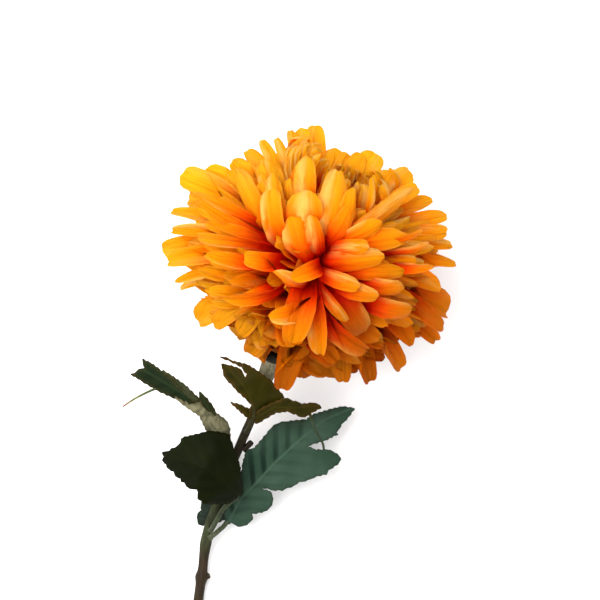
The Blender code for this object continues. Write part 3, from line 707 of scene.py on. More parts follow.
def pressed_cloth(name, upper, deep, under, vein, groove, rim):
    """Die-cut polyester cloth, printed and hot-pressed: matt and finely woven, with painted shade in its
    grooves.
    """
    made, tree, shader = new_material(name)
    place = add_node(tree, "ShaderNodeTexCoord").outputs["Object"]
    away, gone, below, edge = (
        add_node(tree, "ShaderNodeAttribute", attribute_name=key).outputs["Fac"]
        for key in ("away", "gone", "under", "rim")
    )

    # The printed upper side: two shades in clouds
    cloud = add_node(
        tree, "ShaderNodeTexNoise", {"Vector": place, "Scale": 1 / (CLOUD_WIDTH * MM), "Detail": 3.0}
    )
    spread = add_node(
        tree, "ShaderNodeMapRange", {"Value": cloud.outputs["Fac"], "From Min": 0.35, "From Max": 0.65}
    )
    top = add_node(tree, "ShaderNodeMix", {0: spread, 6: linear(deep), 7: linear(upper)}, data_type="RGBA")

    # Painted shade in the grooves over the side veins, which is weaker away from the rib, up the leaf and
    # right of the rib
    beside = add_node(tree, "ShaderNodeMath", {0: away}, operation="ABSOLUTE")
    slanted = add_node(
        tree, "ShaderNodeMath", {0: beside, 1: -VEIN_SLANT, 2: gone}, operation="MULTIPLY_ADD"
    )
    phase = add_node(
        tree, "ShaderNodeMath", {0: slanted, 1: 2 * math.pi / VEIN_SPACING}, operation="MULTIPLY"
    )
    wave = add_node(tree, "ShaderNodeMath", {0: phase}, operation="COSINE")
    side_veins = add_node(
        tree, "ShaderNodeMapRange",
        {"Value": wave, "From Min": -0.35, "From Max": 1.0, "To Min": 0.0, "To Max": 1.0},
        interpolation_type="SMOOTHSTEP",
    )
    inner = add_node(
        tree, "ShaderNodeMapRange",
        {"Value": beside, "From Min": 3.0, "From Max": 17.0, "To Min": 0.85, "To Max": 0.15},
    )
    fade_from, fade_to = FOLD_FADE
    up_leaf = add_node(
        tree, "ShaderNodeMapRange",
        {"Value": gone, "From Min": fade_from, "From Max": fade_to, "To Min": 1.0, "To Max": FOLD_LEFT},
    )
    one_side = add_node(
        tree, "ShaderNodeMapRange",
        {"Value": away, "From Min": -2.0, "From Max": 2.0, "To Min": 0.3, "To Max": 1.0},
    )
    folded = add_node(tree, "ShaderNodeMath", {0: up_leaf, 1: one_side}, operation="MULTIPLY")
    sharp = add_node(tree, "ShaderNodeMath", {0: side_veins, 1: inner, 2: 0.25}, operation="MULTIPLY_ADD")
    groove_shade_mask = add_node(tree, "ShaderNodeMath", {0: sharp, 1: folded}, operation="MULTIPLY")
    grooved = add_node(
        tree, "ShaderNodeMix", {0: groove_shade_mask, 6: top.outputs[2], 7: linear(groove)}, data_type="RGBA"
    )
    midrib = add_node(
        tree, "ShaderNodeMapRange",
        {"Value": beside, "From Min": 0.2, "From Max": 0.8, "To Min": 0.6, "To Max": 0.0},
    )
    veined = add_node(
        tree, "ShaderNodeMix", {0: midrib, 6: grooved.outputs[2], 7: linear(vein)}, data_type="RGBA"
    )

    # The bare underside, darkened in a crumpled pattern as painted shade, and the rim
    creases = add_node(
        tree, "ShaderNodeTexNoise",
        {"Vector": place, "Scale": 1 / (CREASE_WIDTH * MM), "Detail": 1.0, "Distortion": 1.5},
    )
    shaded = add_node(
        tree, "ShaderNodeMapRange",
        {"Value": creases.outputs["Fac"], "From Min": 0.35, "From Max": 0.62, "To Min": 0.5, "To Max": 1.05},
    )
    backing = add_node(
        tree, "ShaderNodeMix", {0: 1.0, 6: linear(under), 7: shaded}, data_type="RGBA", blend_type="MULTIPLY"
    )
    sided = add_node(
        tree, "ShaderNodeMix", {0: below, 6: veined.outputs[2], 7: backing.outputs[2]}, data_type="RGBA"
    )
    share = add_node(tree, "ShaderNodeMath", {0: edge, 1: 0.45}, operation="MULTIPLY")
    edged = add_node(tree, "ShaderNodeMix", {0: share, 6: sided.outputs[2], 7: linear(rim)}, data_type="RGBA")
    tree.links.new(edged.outputs[2], shader.inputs["Base Color"])

    # The weave, sunk at the veins
    weave = add_node(
        tree, "ShaderNodeTexNoise", {"Vector": place, "Scale": 1 / (WEAVE_WIDTH * MM), "Detail": 2.0}
    )
    veins = add_node(tree, "ShaderNodeMath", {0: groove_shade_mask, 1: midrib}, operation="MAXIMUM")
    relief = add_node(
        tree, "ShaderNodeMath", {0: veins, 1: -0.8, 2: weave.outputs["Fac"]}, operation="MULTIPLY_ADD"
    )
    bump = add_node(tree, "ShaderNodeBump", {"Strength": 0.4, "Distance": 0.4 * MM, "Height": relief})
    tree.links.new(bump.outputs[0], shader.inputs["Normal"])
    shader.inputs["Roughness"].default_value = 0.6
    shader.inputs["Specular IOR Level"].default_value = 0.04
    return made


for leaf in (LEAF_RIGHT, LEAF_FRONT, LEAF_LEFT, LEAF_UPPER):
    name = leaf["name"]
    points, faces, values = [], [], {}
    for blade in leaf["blades"]:
        more, sides, extra = leaf_blade(blade)
        faces += [tuple(i + len(points) for i in face) for face in sides]
        points += more
        for label, found in extra.items():
            values.setdefault(label, []).extend(found)
    cloth = mesh_object(name + "_blade", points, faces, (), values)
    cloth.data.shade_smooth()
    # Pressed polyester, one cloth painted in each leaf's own colours for the light and shade that leaf gets:
    # matt, with a cut rim of another shade
    cloth.data.materials.append(pressed_cloth("pressed_polyester_" + name, **leaf["cloth"]))
    rods = []
    for i, (route, thick, thin) in enumerate(leaf["bars"]):
        line = [placed(p[:2], p[2]) for p in route]
        if i == 0 and leaf["seat"]:
            line = seated_on_stem(leaf["seat"], line[0]) + line
        line = smooth_route(line, RIB_STEP)
        rods.append((line, np.linspace(thick, thin, len(line)), (0.0, 1.0 if i else RIB_SHADES_END)))
    # The ribs and stalks are the stem's PE, shaded from the stalk out to the rib's tip
    rib_plastic = moulded_plastic("moulded_pe_rib_" + name, leaf["rib_shades"], 1.2)
    ribs = bars(name + "_rib", rods, RIB_SIDES, rib_plastic)
    for piece in (cloth, ribs):
        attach(piece, "root")
        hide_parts(name)


# The receptacle
# What the petals are glued to, hidden in the middle of the head: a rough knob of moulded plastic. It is
# red like the petals' roots, and dark brown low down as painted shade of the heart, so that no gap between
# them shows pale.

# From the calyx up: distance along the axis from the head's middle, and radius
RECEPTACLE_PROFILE = ((-48, 5), (-43, 11), (-28, 18), (-8, 22), (12, 21), (25, 14), (31, 3))
RECEPTACLE_STEP = 4.0
RECEPTACLE_SIDES = 40
RECEPTACLE_ROUGHNESS = 1.2
ROUGHNESS_SCALE = 0.3

points, along = [], []
profile = smooth_route([(distance, radius, 0.0) for distance, radius in RECEPTACLE_PROFILE], RECEPTACLE_STEP)
for ring, (distance, radius, _) in enumerate(profile):
    for k in range(RECEPTACLE_SIDES):
        turn = 2 * math.pi * k / RECEPTACLE_SIDES
        outward = math.cos(turn) * SIDE + math.sin(turn) * FRONT
        place = HEAD_CENTRE + distance * AXIS + radius * outward
        place = place + RECEPTACLE_ROUGHNESS * noise.noise(Vector(place) * ROUGHNESS_SCALE) * outward
        points.append((place[0], place[1], max(0.0, place[2])))
        along.append(ring / (len(profile) - 1))
faces = barrel_faces(len(profile), RECEPTACLE_SIDES)
receptacle = mesh_object("head_receptacle", points, faces, (), {"along": along})
receptacle.data.shade_smooth()
# The same PE as the stem, dark brown near the calyx as painted shade of the heart between the petals, and red
# where the petals' red roots stand
receptacle.data.materials.append(
    moulded_plastic("moulded_pe_receptacle", ((0.0, "#7a4408"), (0.2, "#96400a"), (0.45, "#c01600")), 1.0)
)
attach(receptacle, "root")
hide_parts("bloom")


# The petals
# A ball of die-cut cloth petals glued to the receptacle, each pressed while hot so that it is cupped. The
# nest's small ones curve in over the apex, and where the lying head faces up the others part and lean away.
# Each is dyed red at its root and orange along its length. Its pale streaks and rims are painted highlights
# of the satin's sheen, and petals turned from the light are browned with painted shade.

# How far from the middle the ball's outline lies, every 15 degrees from the photograph's right over its top
OUTLINE_STEP_DEG = 15.0
OUTLINE_RADIUS = (
    63, 63, 55, 55, 54, 50, 58, 55, 56, 56, 68, 62, 63, 58, 57, 48, 50, 57, 50, 57, 56, 62, 66, 60,
)
UPWARD_RADIUS = 61.0
# At these angles from the apex the ball is sunk to these shares of its radius
NEST_DEG = (0, 16, 36)
NEST_SHARE = (0.80, 0.86, 1.0)

# Outside the nest, petals leave the receptacle towards the parting and bend over away from it, the more so
# the nearer they stand to it
PARTING = (-0.06, 0.02, 1.0)
PARTING_DEG = (0, 80, 105, 130)
PARTING_PULL = (1.5, 1.3, 0.5, 0.0)
NEST_EDGE_DEG = (18, 34)
# The others curve in to the apex, and those past the middle curve back to the calyx
CURVE_IN_DEG = (0, 30, 60, 90, 120, 150)
CURVE_IN_PULL = (-0.7, -0.6, -0.3, 0.0, 0.35, 0.6)
# The less a petal points up, the straighter it stands behind the nest
STANDING_RISE = (0.0, 0.5)
STANDING_CURVE = (0.1, 1.0)


def head_direction(polar, azimuth):
    """The way out from the head's middle at an angle from its axis and a turn about it, in radians."""
    around = math.cos(azimuth) * SIDE + math.sin(azimuth) * FRONT
    return math.cos(polar) * AXIS + math.sin(polar) * around


def outline_radius(x, y):
    """Distance from the head's middle to its outline, the way that x and y point."""
    turn = math.degrees(math.atan2(y, x)) / OUTLINE_STEP_DEG
    return np.interp(turn, range(len(OUTLINE_RADIUS)), OUTLINE_RADIUS, period=len(OUTLINE_RADIUS))


def head_radius(way):
    """Distance from the head's middle to the petal tips that point one way."""
    level = math.hypot(way[0], way[1])
    radius = 1 / math.hypot(level / outline_radius(way[0], way[1]), way[2] / UPWARD_RADIUS)
    polar = math.degrees(math.acos(np.clip(np.dot(way, AXIS), -1, 1)))
    return radius * np.interp(polar, NEST_DEG, NEST_SHARE)


def leaving_way(way, polar):
    """Direction in which a petal leaves the receptacle, given the direction of its tip."""
    parting = unit(np.array(PARTING))
    from_parting = math.degrees(math.acos(np.clip(np.dot(way, parting), -1, 1)))
    outside_nest = np.interp(polar, NEST_EDGE_DEG, (0.0, 1.0))
    pull = outside_nest * np.interp(from_parting, PARTING_DEG, PARTING_PULL)
    rest = 1 - pull / max(PARTING_PULL)
    curve = rest * np.interp(polar, CURVE_IN_DEG, CURVE_IN_PULL)
    if curve < 0:
        curve *= np.interp(way[2], STANDING_RISE, STANDING_CURVE)
    return unit(way + pull * parting + curve * AXIS)


# What each petal draws for itself, between these two numbers: twist in degrees, cup and fold as shares of
# its width, curl in mm, the phase of its ruffle, how pointed it is, where its cloth's pattern starts, its
# random share of dye on top of the painted shade, where its painted highlight runs from rim to rim, and how
# strong that is
DRAWN = {
    "twist": (-48.0, 48.0), "cup": (0.1, 0.5), "fold": (0.0, 0.9), "curl": (-2.5, 4.5), "phase": (0.0, 6.28),
    "pointed": (0.0, 0.8), "tone": (0.0, 1.0), "dye_and_shade": (-0.2, 0.2), "pale_at": (-1.1, 1.1),
    "pale": (-0.5, 0.9),
}
SELDOM = 1.5  # a power that keeps most folds and points small
NEARLY_STRAIGHT = 0.15  # a petal that bends less than this takes its width from its way round the axis
HOLLOW_TURN = (2.5, 0.2)  # how fast the hollow side turns over as petals lean, and how far it is turned
UNSHADED_WAY = np.array((-0.10, 0.88, 0.28))  # petals on this side get the least painted shade
PAINTED_SHADE_DEPTH = (-0.04, 1.25)  # how much painted shade halfway round from it, and how much more on the far side
SHADE_RED_WAY = np.array((0.22, -0.75, 0.48))  # on this side the red runs furthest up them as painted shade, and on the opposite, lit side it runs less far as painted light
SHADE_RED_RISE = 0.25
BEHIND_FROM = 0.35  # and past this, towards the calyx, it runs less far
HIGHLIGHT_WAY = np.array((0.85, 0.25, 0.45))  # on this side the painted highlight of the satin's sheen is strongest
HIGHLIGHT_RISE = 0.4


def petal(root, bend, tip, half_width, draw, **given):
    """The values that shape one petal: its root, the point it bends over, its tip, and how it is pressed."""
    rise = unit(bend - root)
    across = np.cross(rise, tip - bend)
    if np.linalg.norm(across) < NEARLY_STRAIGHT * np.linalg.norm(tip - bend):
        across = np.cross(AXIS, tip - root)
    over = tip - bend
    over = unit(over - np.dot(over, rise) * rise + 1e-6 * AXIS)
    # The hollow side of a pressed petal faces the apex, so a petal that leans away from it shows its hollow
    hollow = float(np.clip(HOLLOW_TURN[0] * np.dot(over, AXIS) + HOLLOW_TURN[1], -1.0, 1.0))
    facing = unit(tip - HEAD_CENTRE)
    behind = max(0.0, -np.dot(facing, AXIS) - BEHIND_FROM)
    own = {key: draw.uniform(*ends) for key, ends in DRAWN.items()}
    shape = {
        "root": root * MM,
        "bend": bend * MM,
        "tip": tip * MM,
        "across": unit(across),
        "half_width": half_width * MM,
        "twist": math.radians(own["twist"]),
        "cup": hollow * own["cup"],
        "fold": hollow * own["fold"] ** SELDOM,
        "curl": hollow * own["curl"] * MM,
        "phase": own["phase"],
        "pointed": own["pointed"] ** SELDOM,
        "tone": own["tone"],
        "dye_and_shade": float(np.clip(PAINTED_SHADE_DEPTH[0] - PAINTED_SHADE_DEPTH[1] * np.dot(facing, UNSHADED_WAY) + own["dye_and_shade"], 0.0, 1.0)),
        "redness": SHADE_RED_RISE * np.dot(facing, SHADE_RED_WAY) - behind,
        "pale_at": own["pale_at"],
        "pale": max(0.0, own["pale"]) + HIGHLIGHT_RISE * max(0.0, np.dot(facing, HIGHLIGHT_WAY)),
    }
    shape.update(given)
    return shape


PETAL_ROOT_RADIUS = 9.0  # petals start inside the receptacle, this far from the head's middle
BEND_SHARE = 0.74  # how far out a petal bends over, as a share of its reach

# Petals at the head's outline: where each tip shows, in pixels, its height over the head's middle in mm,
# half its width in mm, and how pointed it is
RIM_PETALS = (
    (181, 176, 14, 6.6, 0.0), (204, 173, 10, 6.4, 0.1), (228, 173, 16, 6.0, 0.2), (171, 212, 4, 4.4, 0.7),
    (172, 231, 14, 3.7, 0.5), (163, 251, 2, 6.0, 0.2), (168, 262, 12, 5.0, 0.4), (175, 282, 8, 3.6, 0.9),
    (180, 289, -6, 3.6, 0.9), (198, 321, 2, 6.0, 0.1), (214, 326, 12, 5.4, 0.1), (240, 335, 16, 5.2, 0.2),
    (251, 354, 6, 6.0, 0.3), (270, 345, 20, 5.2, 0.2), (281, 389, 8, 7.2, 0.6), (298, 377, -4, 5.0, 0.7),
    (320, 362, 18, 5.6, 0.6), (343, 382, 6, 6.8, 0.8), (369, 382, 0, 6.2, 0.6), (401, 369, 4, 6.6, 0.5),
    (412, 345, 14, 5.4, 0.5), (436, 341, -2, 5.0, 0.6), (443, 329, 8, 5.2, 0.2), (446, 313, -6, 6.0, 0.0),
    (440, 290, 12, 5.0, 0.3), (456, 265, 2, 4.6, 1.0), (452, 246, 4, 3.7, 0.4), (447, 232, 10, 4.8, 0.4),
    (447, 216, 2, 4.8, 0.6), (432, 199, 0, 4.4, 0.5), (418, 187, 10, 4.8, 0.3), (411, 172, -4, 5.6, 0.1),
    (391, 171, 8, 4.4, 0.1), (376, 153, 3, 6.4, 0.0), (363, 155, 7, 5.4, 0.0), (349, 154, 6, 5.0, 0.0),
    (335, 148, 5, 5.0, 0.0), (315, 125, -4, 5.4, 0.4), (301, 128, 2, 5.2, 0.3), (290, 130, 6, 3.6, 0.6),
    (276, 138, 12, 3.4, 0.7), (261, 140, 8, 3.5, 0.5), (247, 150, -2, 4.4, 0.4), (232, 161, 8, 5.6, 0.5),
)
RIM_LEAN_UP = 0.38  # they leave the receptacle higher than their tips lie
RIM_LEAN_IN = 0.15  # and nearer to the apex
RIM_HIGHLIGHT = 0.5  # the most painted highlight that one of them gets
FULL_HIGHLIGHT_BELOW = 3.8  # but those narrower than this get the painted highlight at full strength
RIM_TWIST = 0.4  # they take these shares of the twist and the fold that they draw
RIM_FOLD = 0.5

# Petals in front, which the photograph shows one by one: in pixels, where the tip shows and the foot that
# comes out between its neighbours, how far the tip stands off the ball in mm, half the width in mm, the
# twist in degrees, and where its painted highlight streak runs, from 1 at its left rim to -1 at its right
FRONT_PETALS = (
    (271, 172, 281, 232, -1.0, 5.0, 6.0, 0.5), (266, 187, 279, 241, 3.0, 6.0, -10.0, 0.8),
    (306, 160, 305, 205, 1.0, 5.2, 4.0, 0.4), (306, 189, 304, 236, 3.0, 8.4, 4.0, 0.1),
    (337, 173, 326, 236, 3.0, 6.8, 8.0, 0.6), (356, 188, 343, 232, 0.0, 5.0, 14.0, -1.8),
    (289, 217, 308, 264, 2.5, 7.8, -6.0, 1.0), (312, 214, 317, 254, 0.0, 4.6, 10.0, 0.4),
    (293, 278, 319, 266, 0.0, 4.2, 6.0, -1.8), (274, 272, 304, 288, 0.0, 4.6, -30.0, -0.7),
    (245, 257, 277, 262, 0.0, 5.0, -10.0, -1.8), (291, 336, 303, 292, 0.0, 7.2, -8.0, 1.8),
    (269, 315, 304, 305, 12.0, 5.0, 10.0, 0.9), (323, 349, 315, 298, 4.0, 4.8, 24.0, -0.8),
    (347, 321, 322, 290, 0.0, 2.8, 20.0, 0.2), (366, 335, 336, 292, -4.0, 6.8, -6.0, 1.1),
    (360, 286, 322, 274, 4.0, 4.0, -12.0, 0.5), (378, 298, 336, 283, 2.0, 4.8, 8.0, 0.7),
    (385, 259, 328, 263, 3.0, 5.8, 14.0, 0.9), (409, 271, 344, 270, 0.0, 4.2, -8.0, -1.8),
    (368, 250, 332, 249, 6.0, 3.8, 24.0, 0.1), (419, 190, 343, 241, 26.0, 4.2, 26.0, 0.3),
    (407, 236, 351, 243, -1.0, 5.4, -6.0, -1.8), (196, 194, 252, 220, 4.0, 3.2, -50.0, 1.2),
    (201, 204, 256, 236, 6.0, 3.2, 40.0, -1.8), (196, 239, 259, 245, 4.0, 3.6, -40.0, 1.2),
    (206, 226, 262, 240, 7.0, 3.2, 50.0, -1.8), (206, 254, 256, 264, 5.0, 3.6, 36.0, 1.3),
    (225, 294, 274, 291, 5.0, 3.8, -30.0, -1.8), (233, 168, 262, 222, 4.0, 5.2, -8.0, -1.8),
    (362, 344, 326, 318, -3.0, 4.6, 0.0, -1.0), (428, 249, 392, 254, 4.0, 3.2, 60.0, 1.0),
    (430, 266, 396, 268, 3.0, 3.2, -50.0, 1.0), (423, 234, 384, 246, 4.0, 3.4, 55.0, -1.1),
    (406, 290, 362, 284, 0.0, 4.6, 12.0, 1.0), (410, 310, 366, 302, 0.0, 4.8, -6.0, 1.1),
    (352, 205, 330, 244, -3.0, 4.6, 0.0, -1.8), (381, 222, 340, 246, 2.0, 4.8, 10.0, 1.2),
    (295, 147, 287, 172, 1.0, 1.6, 40.0, 0.4), (301, 147, 291, 172, 2.0, 1.5, 40.0, 0.4),
    (306, 147, 296, 170, 3.0, 1.5, 40.0, 0.4), (311, 146, 301, 166, 4.0, 1.5, 40.0, 0.4),
    (321, 146, 306, 163, 4.0, 1.4, 30.0, 0.4), (323, 153, 309, 164, 3.0, 1.4, 30.0, 0.4),
)
FOOT_DEPTH = 0.8  # how high their feet are, as a share of the ball's height there
FRONT_POINTED = 0.4  # they take these shares of the point and the cup that they draw
FRONT_CUP = 0.6
STRIP_HALF_WIDTH = 2.0  # those narrower than this are the flat strips that lean over the nest
# The strips are shifted less red, so yellower and lighter, as painted light against the nest's shade
STRIP_SHAPE = {"curl": 0.0, "cup": 0.3, "fold": 0.0, "redness": -0.3}
# How much redder they are by the row of their tip, and what share of that they take by its column
FRONT_RED = ((170, 205, 300, 340), (0.02, 0.14, 0.02, -0.05))
FRONT_RED_LEFT = ((330, 390), (1.0, 0.0))
# The partings that show red petals: each one's middle and spread in pixels
RED_HEARTS = ((318, 282, 30.0), (277, 253, 14.0), (352, 306, 13.0))
# How much redder petals are there: front ones that stand out, front ones set back, and those between them
HEART_RED = (-0.01, 0.04, 0.26)


def heat_at(pixel):
    """How near a pixel is to the middle of a red parting, from 0 to 1."""
    return max(math.exp(-((math.dist(pixel, (x, y)) / spread) ** 2)) for x, y, spread in RED_HEARTS)


def ball_height(pixel):
    """How high the ball of petal tips stands over the head's middle at a pixel."""
    flat = placed(pixel, 0.0)[:2] - HEAD_CENTRE[:2]
    share = np.linalg.norm(flat) / outline_radius(flat[0], flat[1])
    return UPWARD_RADIUS * math.sqrt(max(0.0, 1 - share * share))


def placed_petals(draw):
    """The petals that are listed one by one, in front and round the outline."""
    shapes = []
    for tip_x, tip_y, foot_x, foot_y, off, half_width, twist, pale_at in FRONT_PETALS:
        tip = placed((tip_x, tip_y), HEAD_HEIGHT + ball_height((tip_x, tip_y)) + off)
        foot = placed((foot_x, foot_y), HEAD_HEIGHT + FOOT_DEPTH * ball_height((foot_x, foot_y)))
        root = HEAD_CENTRE + PETAL_ROOT_RADIUS * unit(foot - HEAD_CENTRE)
        bend = 2 * foot - (root + tip) / 2
        shape = petal(root, bend, tip, half_width, draw, twist=math.radians(twist), pale_at=pale_at, pale=1.0)
        shape["redness"] += np.interp(tip_y, *FRONT_RED) * np.interp(tip_x, *FRONT_RED_LEFT)
        shape["pointed"] *= FRONT_POINTED
        shape["cup"] *= FRONT_CUP
        if half_width < STRIP_HALF_WIDTH:
            shape.update(STRIP_SHAPE)
        shape["redness"] += HEART_RED[off < 0] * heat_at((foot_x, foot_y))
        shapes.append(shape)
    for x, y, rise, half_width, pointed in RIM_PETALS:
        tip = placed((x, y), HEAD_HEIGHT + rise)
        way = unit(tip - HEAD_CENTRE)
        reach = np.linalg.norm(tip - HEAD_CENTRE)
        leave = unit(way + RIM_LEAN_UP * np.array((0.0, 0.0, 1.0)) + RIM_LEAN_IN * AXIS)
        root = HEAD_CENTRE + PETAL_ROOT_RADIUS * leave
        bend = HEAD_CENTRE + BEND_SHARE * reach * leave
        highlighted = draw.uniform(0.0, RIM_HIGHLIGHT) + (half_width < FULL_HIGHLIGHT_BELOW)
        shape = petal(root, bend, tip, half_width, draw, pointed=pointed, curl=0.0, pale=highlighted)
        shape["twist"] *= RIM_TWIST
        shape["fold"] *= RIM_FOLD
        shapes.append(shape)
    return shapes


GOLDEN_ANGLE = math.pi * (3 - math.sqrt(5))
NEST_COUNT = 50
NEST_SPREAD_DEG = 31.0
NEST_JITTER_DEG = 14.0
NEST_HOOK = (1.35, 0.72)  # how far from the apex they leave and end, as shares of where each one stands
NEST_REACH = (0.94, 1.08)
NEST_ROOT = 0.45  # where they start and bend over, as shares of their reach
NEST_BEND = 1.04
NEST_HALF_WIDTH = 3.0
NEST_WIDTHS = (0.6, 1.25)
NEST_WIDER = (0.7, 0.5)  # their width at the apex, and what each radian away from it adds
NEST_CUP = (0.3, 0.9)
# Nest petals are shifted a little less red, so lighter, as painted light against their own shade
NEST_RED = -0.1
# Boxes of pixels kept free of tips, where the calyx shows and where broad petals stand behind the nest
CLEAR_BOXES = ((230, 348, 288, 402), (322, 138, 396, 161))


def pixel_of(place):
    """Where a point shows in the photograph's frame."""
    across, up = (place[:2] - HEAD_PLACE[:2]) / PIXEL
    return HEAD_PIXEL[0] + across, HEAD_PIXEL[1] - up


def in_clear_box(pixel):
    """Whether a pixel lies where no nest petal or seeded petal may end."""
    x, y = pixel
    return any(left < x < right and top < y < bottom for left, top, right, bottom in CLEAR_BOXES)


def nest_petals(draw):
    """The tight little petals of the nest, which hook in over the apex."""
    shapes = []
    for i in range(NEST_COUNT):
        polar = math.radians(NEST_SPREAD_DEG * math.sqrt((i + 0.5) / NEST_COUNT))
        azimuth = i * GOLDEN_ANGLE + math.radians(draw.uniform(-NEST_JITTER_DEG, NEST_JITTER_DEG))
        leave, way = (head_direction(polar * share, azimuth) for share in NEST_HOOK)
        reach = head_radius(head_direction(polar, azimuth)) * draw.uniform(*NEST_REACH)
        root = HEAD_CENTRE + NEST_ROOT * reach * leave
        bend = HEAD_CENTRE + NEST_BEND * reach * leave
        wider = NEST_WIDER[0] + NEST_WIDER[1] * polar
        half_width = NEST_HALF_WIDTH * draw.uniform(*NEST_WIDTHS) * wider
        tip = HEAD_CENTRE + reach * way
        cup = draw.uniform(*NEST_CUP)
        shape = petal(root, bend, tip, half_width, draw, cup=cup, redness=NEST_RED, pale=1.0)
        if not in_clear_box(pixel_of(tip)):
            shapes.append(shape)
    return shapes


PETAL_COUNT = 720  # places on the ball for seeded petals, of which some are left out
FIRST_PETAL_DEG = 4.0
LAST_PETAL_DEG = 157.0
NEST_CROWDING = 1.10  # above 1, they stand closer together towards the apex
JITTER_DEG = 7.0
# Their tips drift together in clumps, by three noises read this far apart
CLUMPING = 0.15
CLUMP_SCALE = 2.6
CLUMP_SHIFTS = (0.0, 9.3, 18.6)
PETAL_HALF_WIDTH = 5.8
WIDTHS = (0.7, 1.15)
SIZE_DEG = (0, 18, 45, 75, 150)
SIZE_SHARE = (0.42, 0.55, 0.86, 1.0, 1.0)
SHORT_SHARE = 0.22  # what share of them is short
SHORT_LEFT = 0.2  # how much more of them towards the photograph's left
SHORT_RISE = 0.8  # none that points up more than this is short
SHORT_REACH = (0.66, 0.82)
LONG_REACH = (0.84, 0.95)
SIDEWAYS = (0.45, 0.8)  # those that point this far left or right grow narrower and more twisted
SIDE_NARROWER = 0.25
SIDE_TWIST = 0.5
# Petals near the calyx start lower on the receptacle
LOW_ROOT_DEG = (80, 150)
LOWEST_ROOT = -36.0
HEART_DEPTH = 0.12  # how much shorter petals in a red parting are, as a share of their reach
CALYX_REACH = 0.76  # petals that would end in the calyx's clear box reach this share of that
CALYX_BEND = 0.65  # and bend over this far out
# A seeded petal is left out when its tip is this near to a listed petal's tip, or to points this far
# along a front petal
CLEAR_OF_FRONT = 5.5
CLEAR_SPINE = (0.6, 0.8)


def on_spine(shape, share):
    """A point of a petal's middle line, at a share of the way from its root to its tip."""
    left = 1 - share
    return left * left * shape["root"] + 2 * share * left * shape["bend"] + share * share * shape["tip"]


def seeded_petals(draw, others):
    """The rest of the ball: petals spread evenly over it, left out where another petal stands."""
    taken = [shape["tip"] for shape in others]
    taken += [on_spine(shape, share) for shape in others[: len(FRONT_PETALS)] for share in CLEAR_SPINE]
    taken = np.array(taken) / MM
    first, last = math.cos(math.radians(FIRST_PETAL_DEG)), math.cos(math.radians(LAST_PETAL_DEG))
    shapes = []
    for i in range(PETAL_COUNT):
        share = ((i + 0.5) / PETAL_COUNT) ** NEST_CROWDING
        polar = math.degrees(math.acos(first + share * (last - first)))
        polar += draw.uniform(-JITTER_DEG, JITTER_DEG)
        azimuth = i * GOLDEN_ANGLE + math.radians(draw.uniform(-JITTER_DEG, JITTER_DEG))
        way = head_direction(math.radians(polar), azimuth)
        spots = [Vector(way) * CLUMP_SCALE + Vector((shift, 0.0, 0.0)) for shift in CLUMP_SHIFTS]
        way = unit(way + CLUMPING * np.array([noise.noise(spot) for spot in spots]))
        size = np.interp(polar, SIZE_DEG, SIZE_SHARE)
        short = draw.random() < SHORT_SHARE - SHORT_LEFT * way[0] and way[2] < SHORT_RISE
        reach = head_radius(way) * draw.uniform(*(SHORT_REACH if short else LONG_REACH))
        half_width = PETAL_HALF_WIDTH * size * draw.uniform(*WIDTHS)
        sideways = np.interp(abs(way[0]), SIDEWAYS, (0.0, 1.0))
        half_width *= 1 - SIDE_NARROWER * sideways
        base = HEAD_CENTRE + np.interp(polar, LOW_ROOT_DEG, (0.0, LOWEST_ROOT)) * AXIS
        leave = leaving_way(way, polar)
        tip = HEAD_CENTRE + reach * way
        bend = base + BEND_SHARE * reach * leave
        shape = petal(base + PETAL_ROOT_RADIUS * leave, bend, tip, half_width, draw)
        shape["twist"] *= 1 + SIDE_TWIST * sideways
        seen = pixel_of(tip)
        if way[2] > 0:
            heat = heat_at(seen)
            shape["redness"] += HEART_RED[2] * heat
            shape["tip"] = shape["tip"] - HEART_DEPTH * heat * reach * way * MM
            shape["bend"] = shape["bend"] - HEART_DEPTH * heat * reach * leave * MM
        if seen[1] > HEAD_PIXEL[1] and in_clear_box(seen):
            shape["tip"] = (HEAD_CENTRE + CALYX_REACH * reach * way) * MM
            shape["bend"] = (base + CALYX_BEND * CALYX_REACH * reach * leave) * MM
            shape["curl"] = 0.0
            seen = pixel_of(shape["tip"] / MM)
        if in_clear_box(seen):
            continue
        if polar > NEST_SPREAD_DEG and np.min(np.linalg.norm(taken - tip, axis=1)) > CLEAR_OF_FRONT:
            shapes.append(shape)
    return shapes


PETAL_ALONG = (0.0, 0.3, 0.52, 0.7, 0.84, 0.93, 0.98, 1.0)
PETAL_ACROSS = (-1.0, -0.55, 0.0, 0.55, 1.0)
BLANK_SIZE = (10.0, 40.0)  # half its width and its length, before a petal's own size is set


def petal_blank():
    """A flat blank with two faces that share their rim: only its place along and across is stored."""
    rows, columns = len(PETAL_ALONG), len(PETAL_ACROSS)
    # Known fault: spots and corners share one dictionary. So in the second row the first column takes the
    # root's corner, and on the second side the last column takes a point of the fifth row's first column.
    index, along, across, face, rim = {}, [], [], [], []
    for side in (1, -1):
        for i in range(rows):
            for j in range(columns):
                edge = i in (0, rows - 1) or j in (0, columns - 1)
                spot = (i, j, 0 if edge else side)
                if spot not in index:
                    index[spot] = len(along)
                    along.append(PETAL_ALONG[i])
                    across.append(PETAL_ACROSS[j])
                    face.append(0.0 if edge else float(side))
                    rim.append(edge)
                index[(side, i, j)] = index[spot]
    faces = []
    for side in (1, -1):
        for i in range(rows - 1):
            for j in range(columns - 1):
                corner = [index[(side, i + di, j + dj)] for di, dj in ((0, 0), (0, 1), (1, 1), (1, 0))]
                faces.append(tuple(corner if side == 1 else corner[::-1]))
    flat = [(BLANK_SIZE[0] * v, BLANK_SIZE[1] * u, 0.0) for u, v in zip(along, across)]
    blank = mesh_object("petal_blank", flat, faces, (), {"along": along, "side_step": across, "face": face})
    for edge in blank.data.edges:
        a, b = edge.vertices
        edge.use_edge_sharp = rim[a] and rim[b]
    return blank


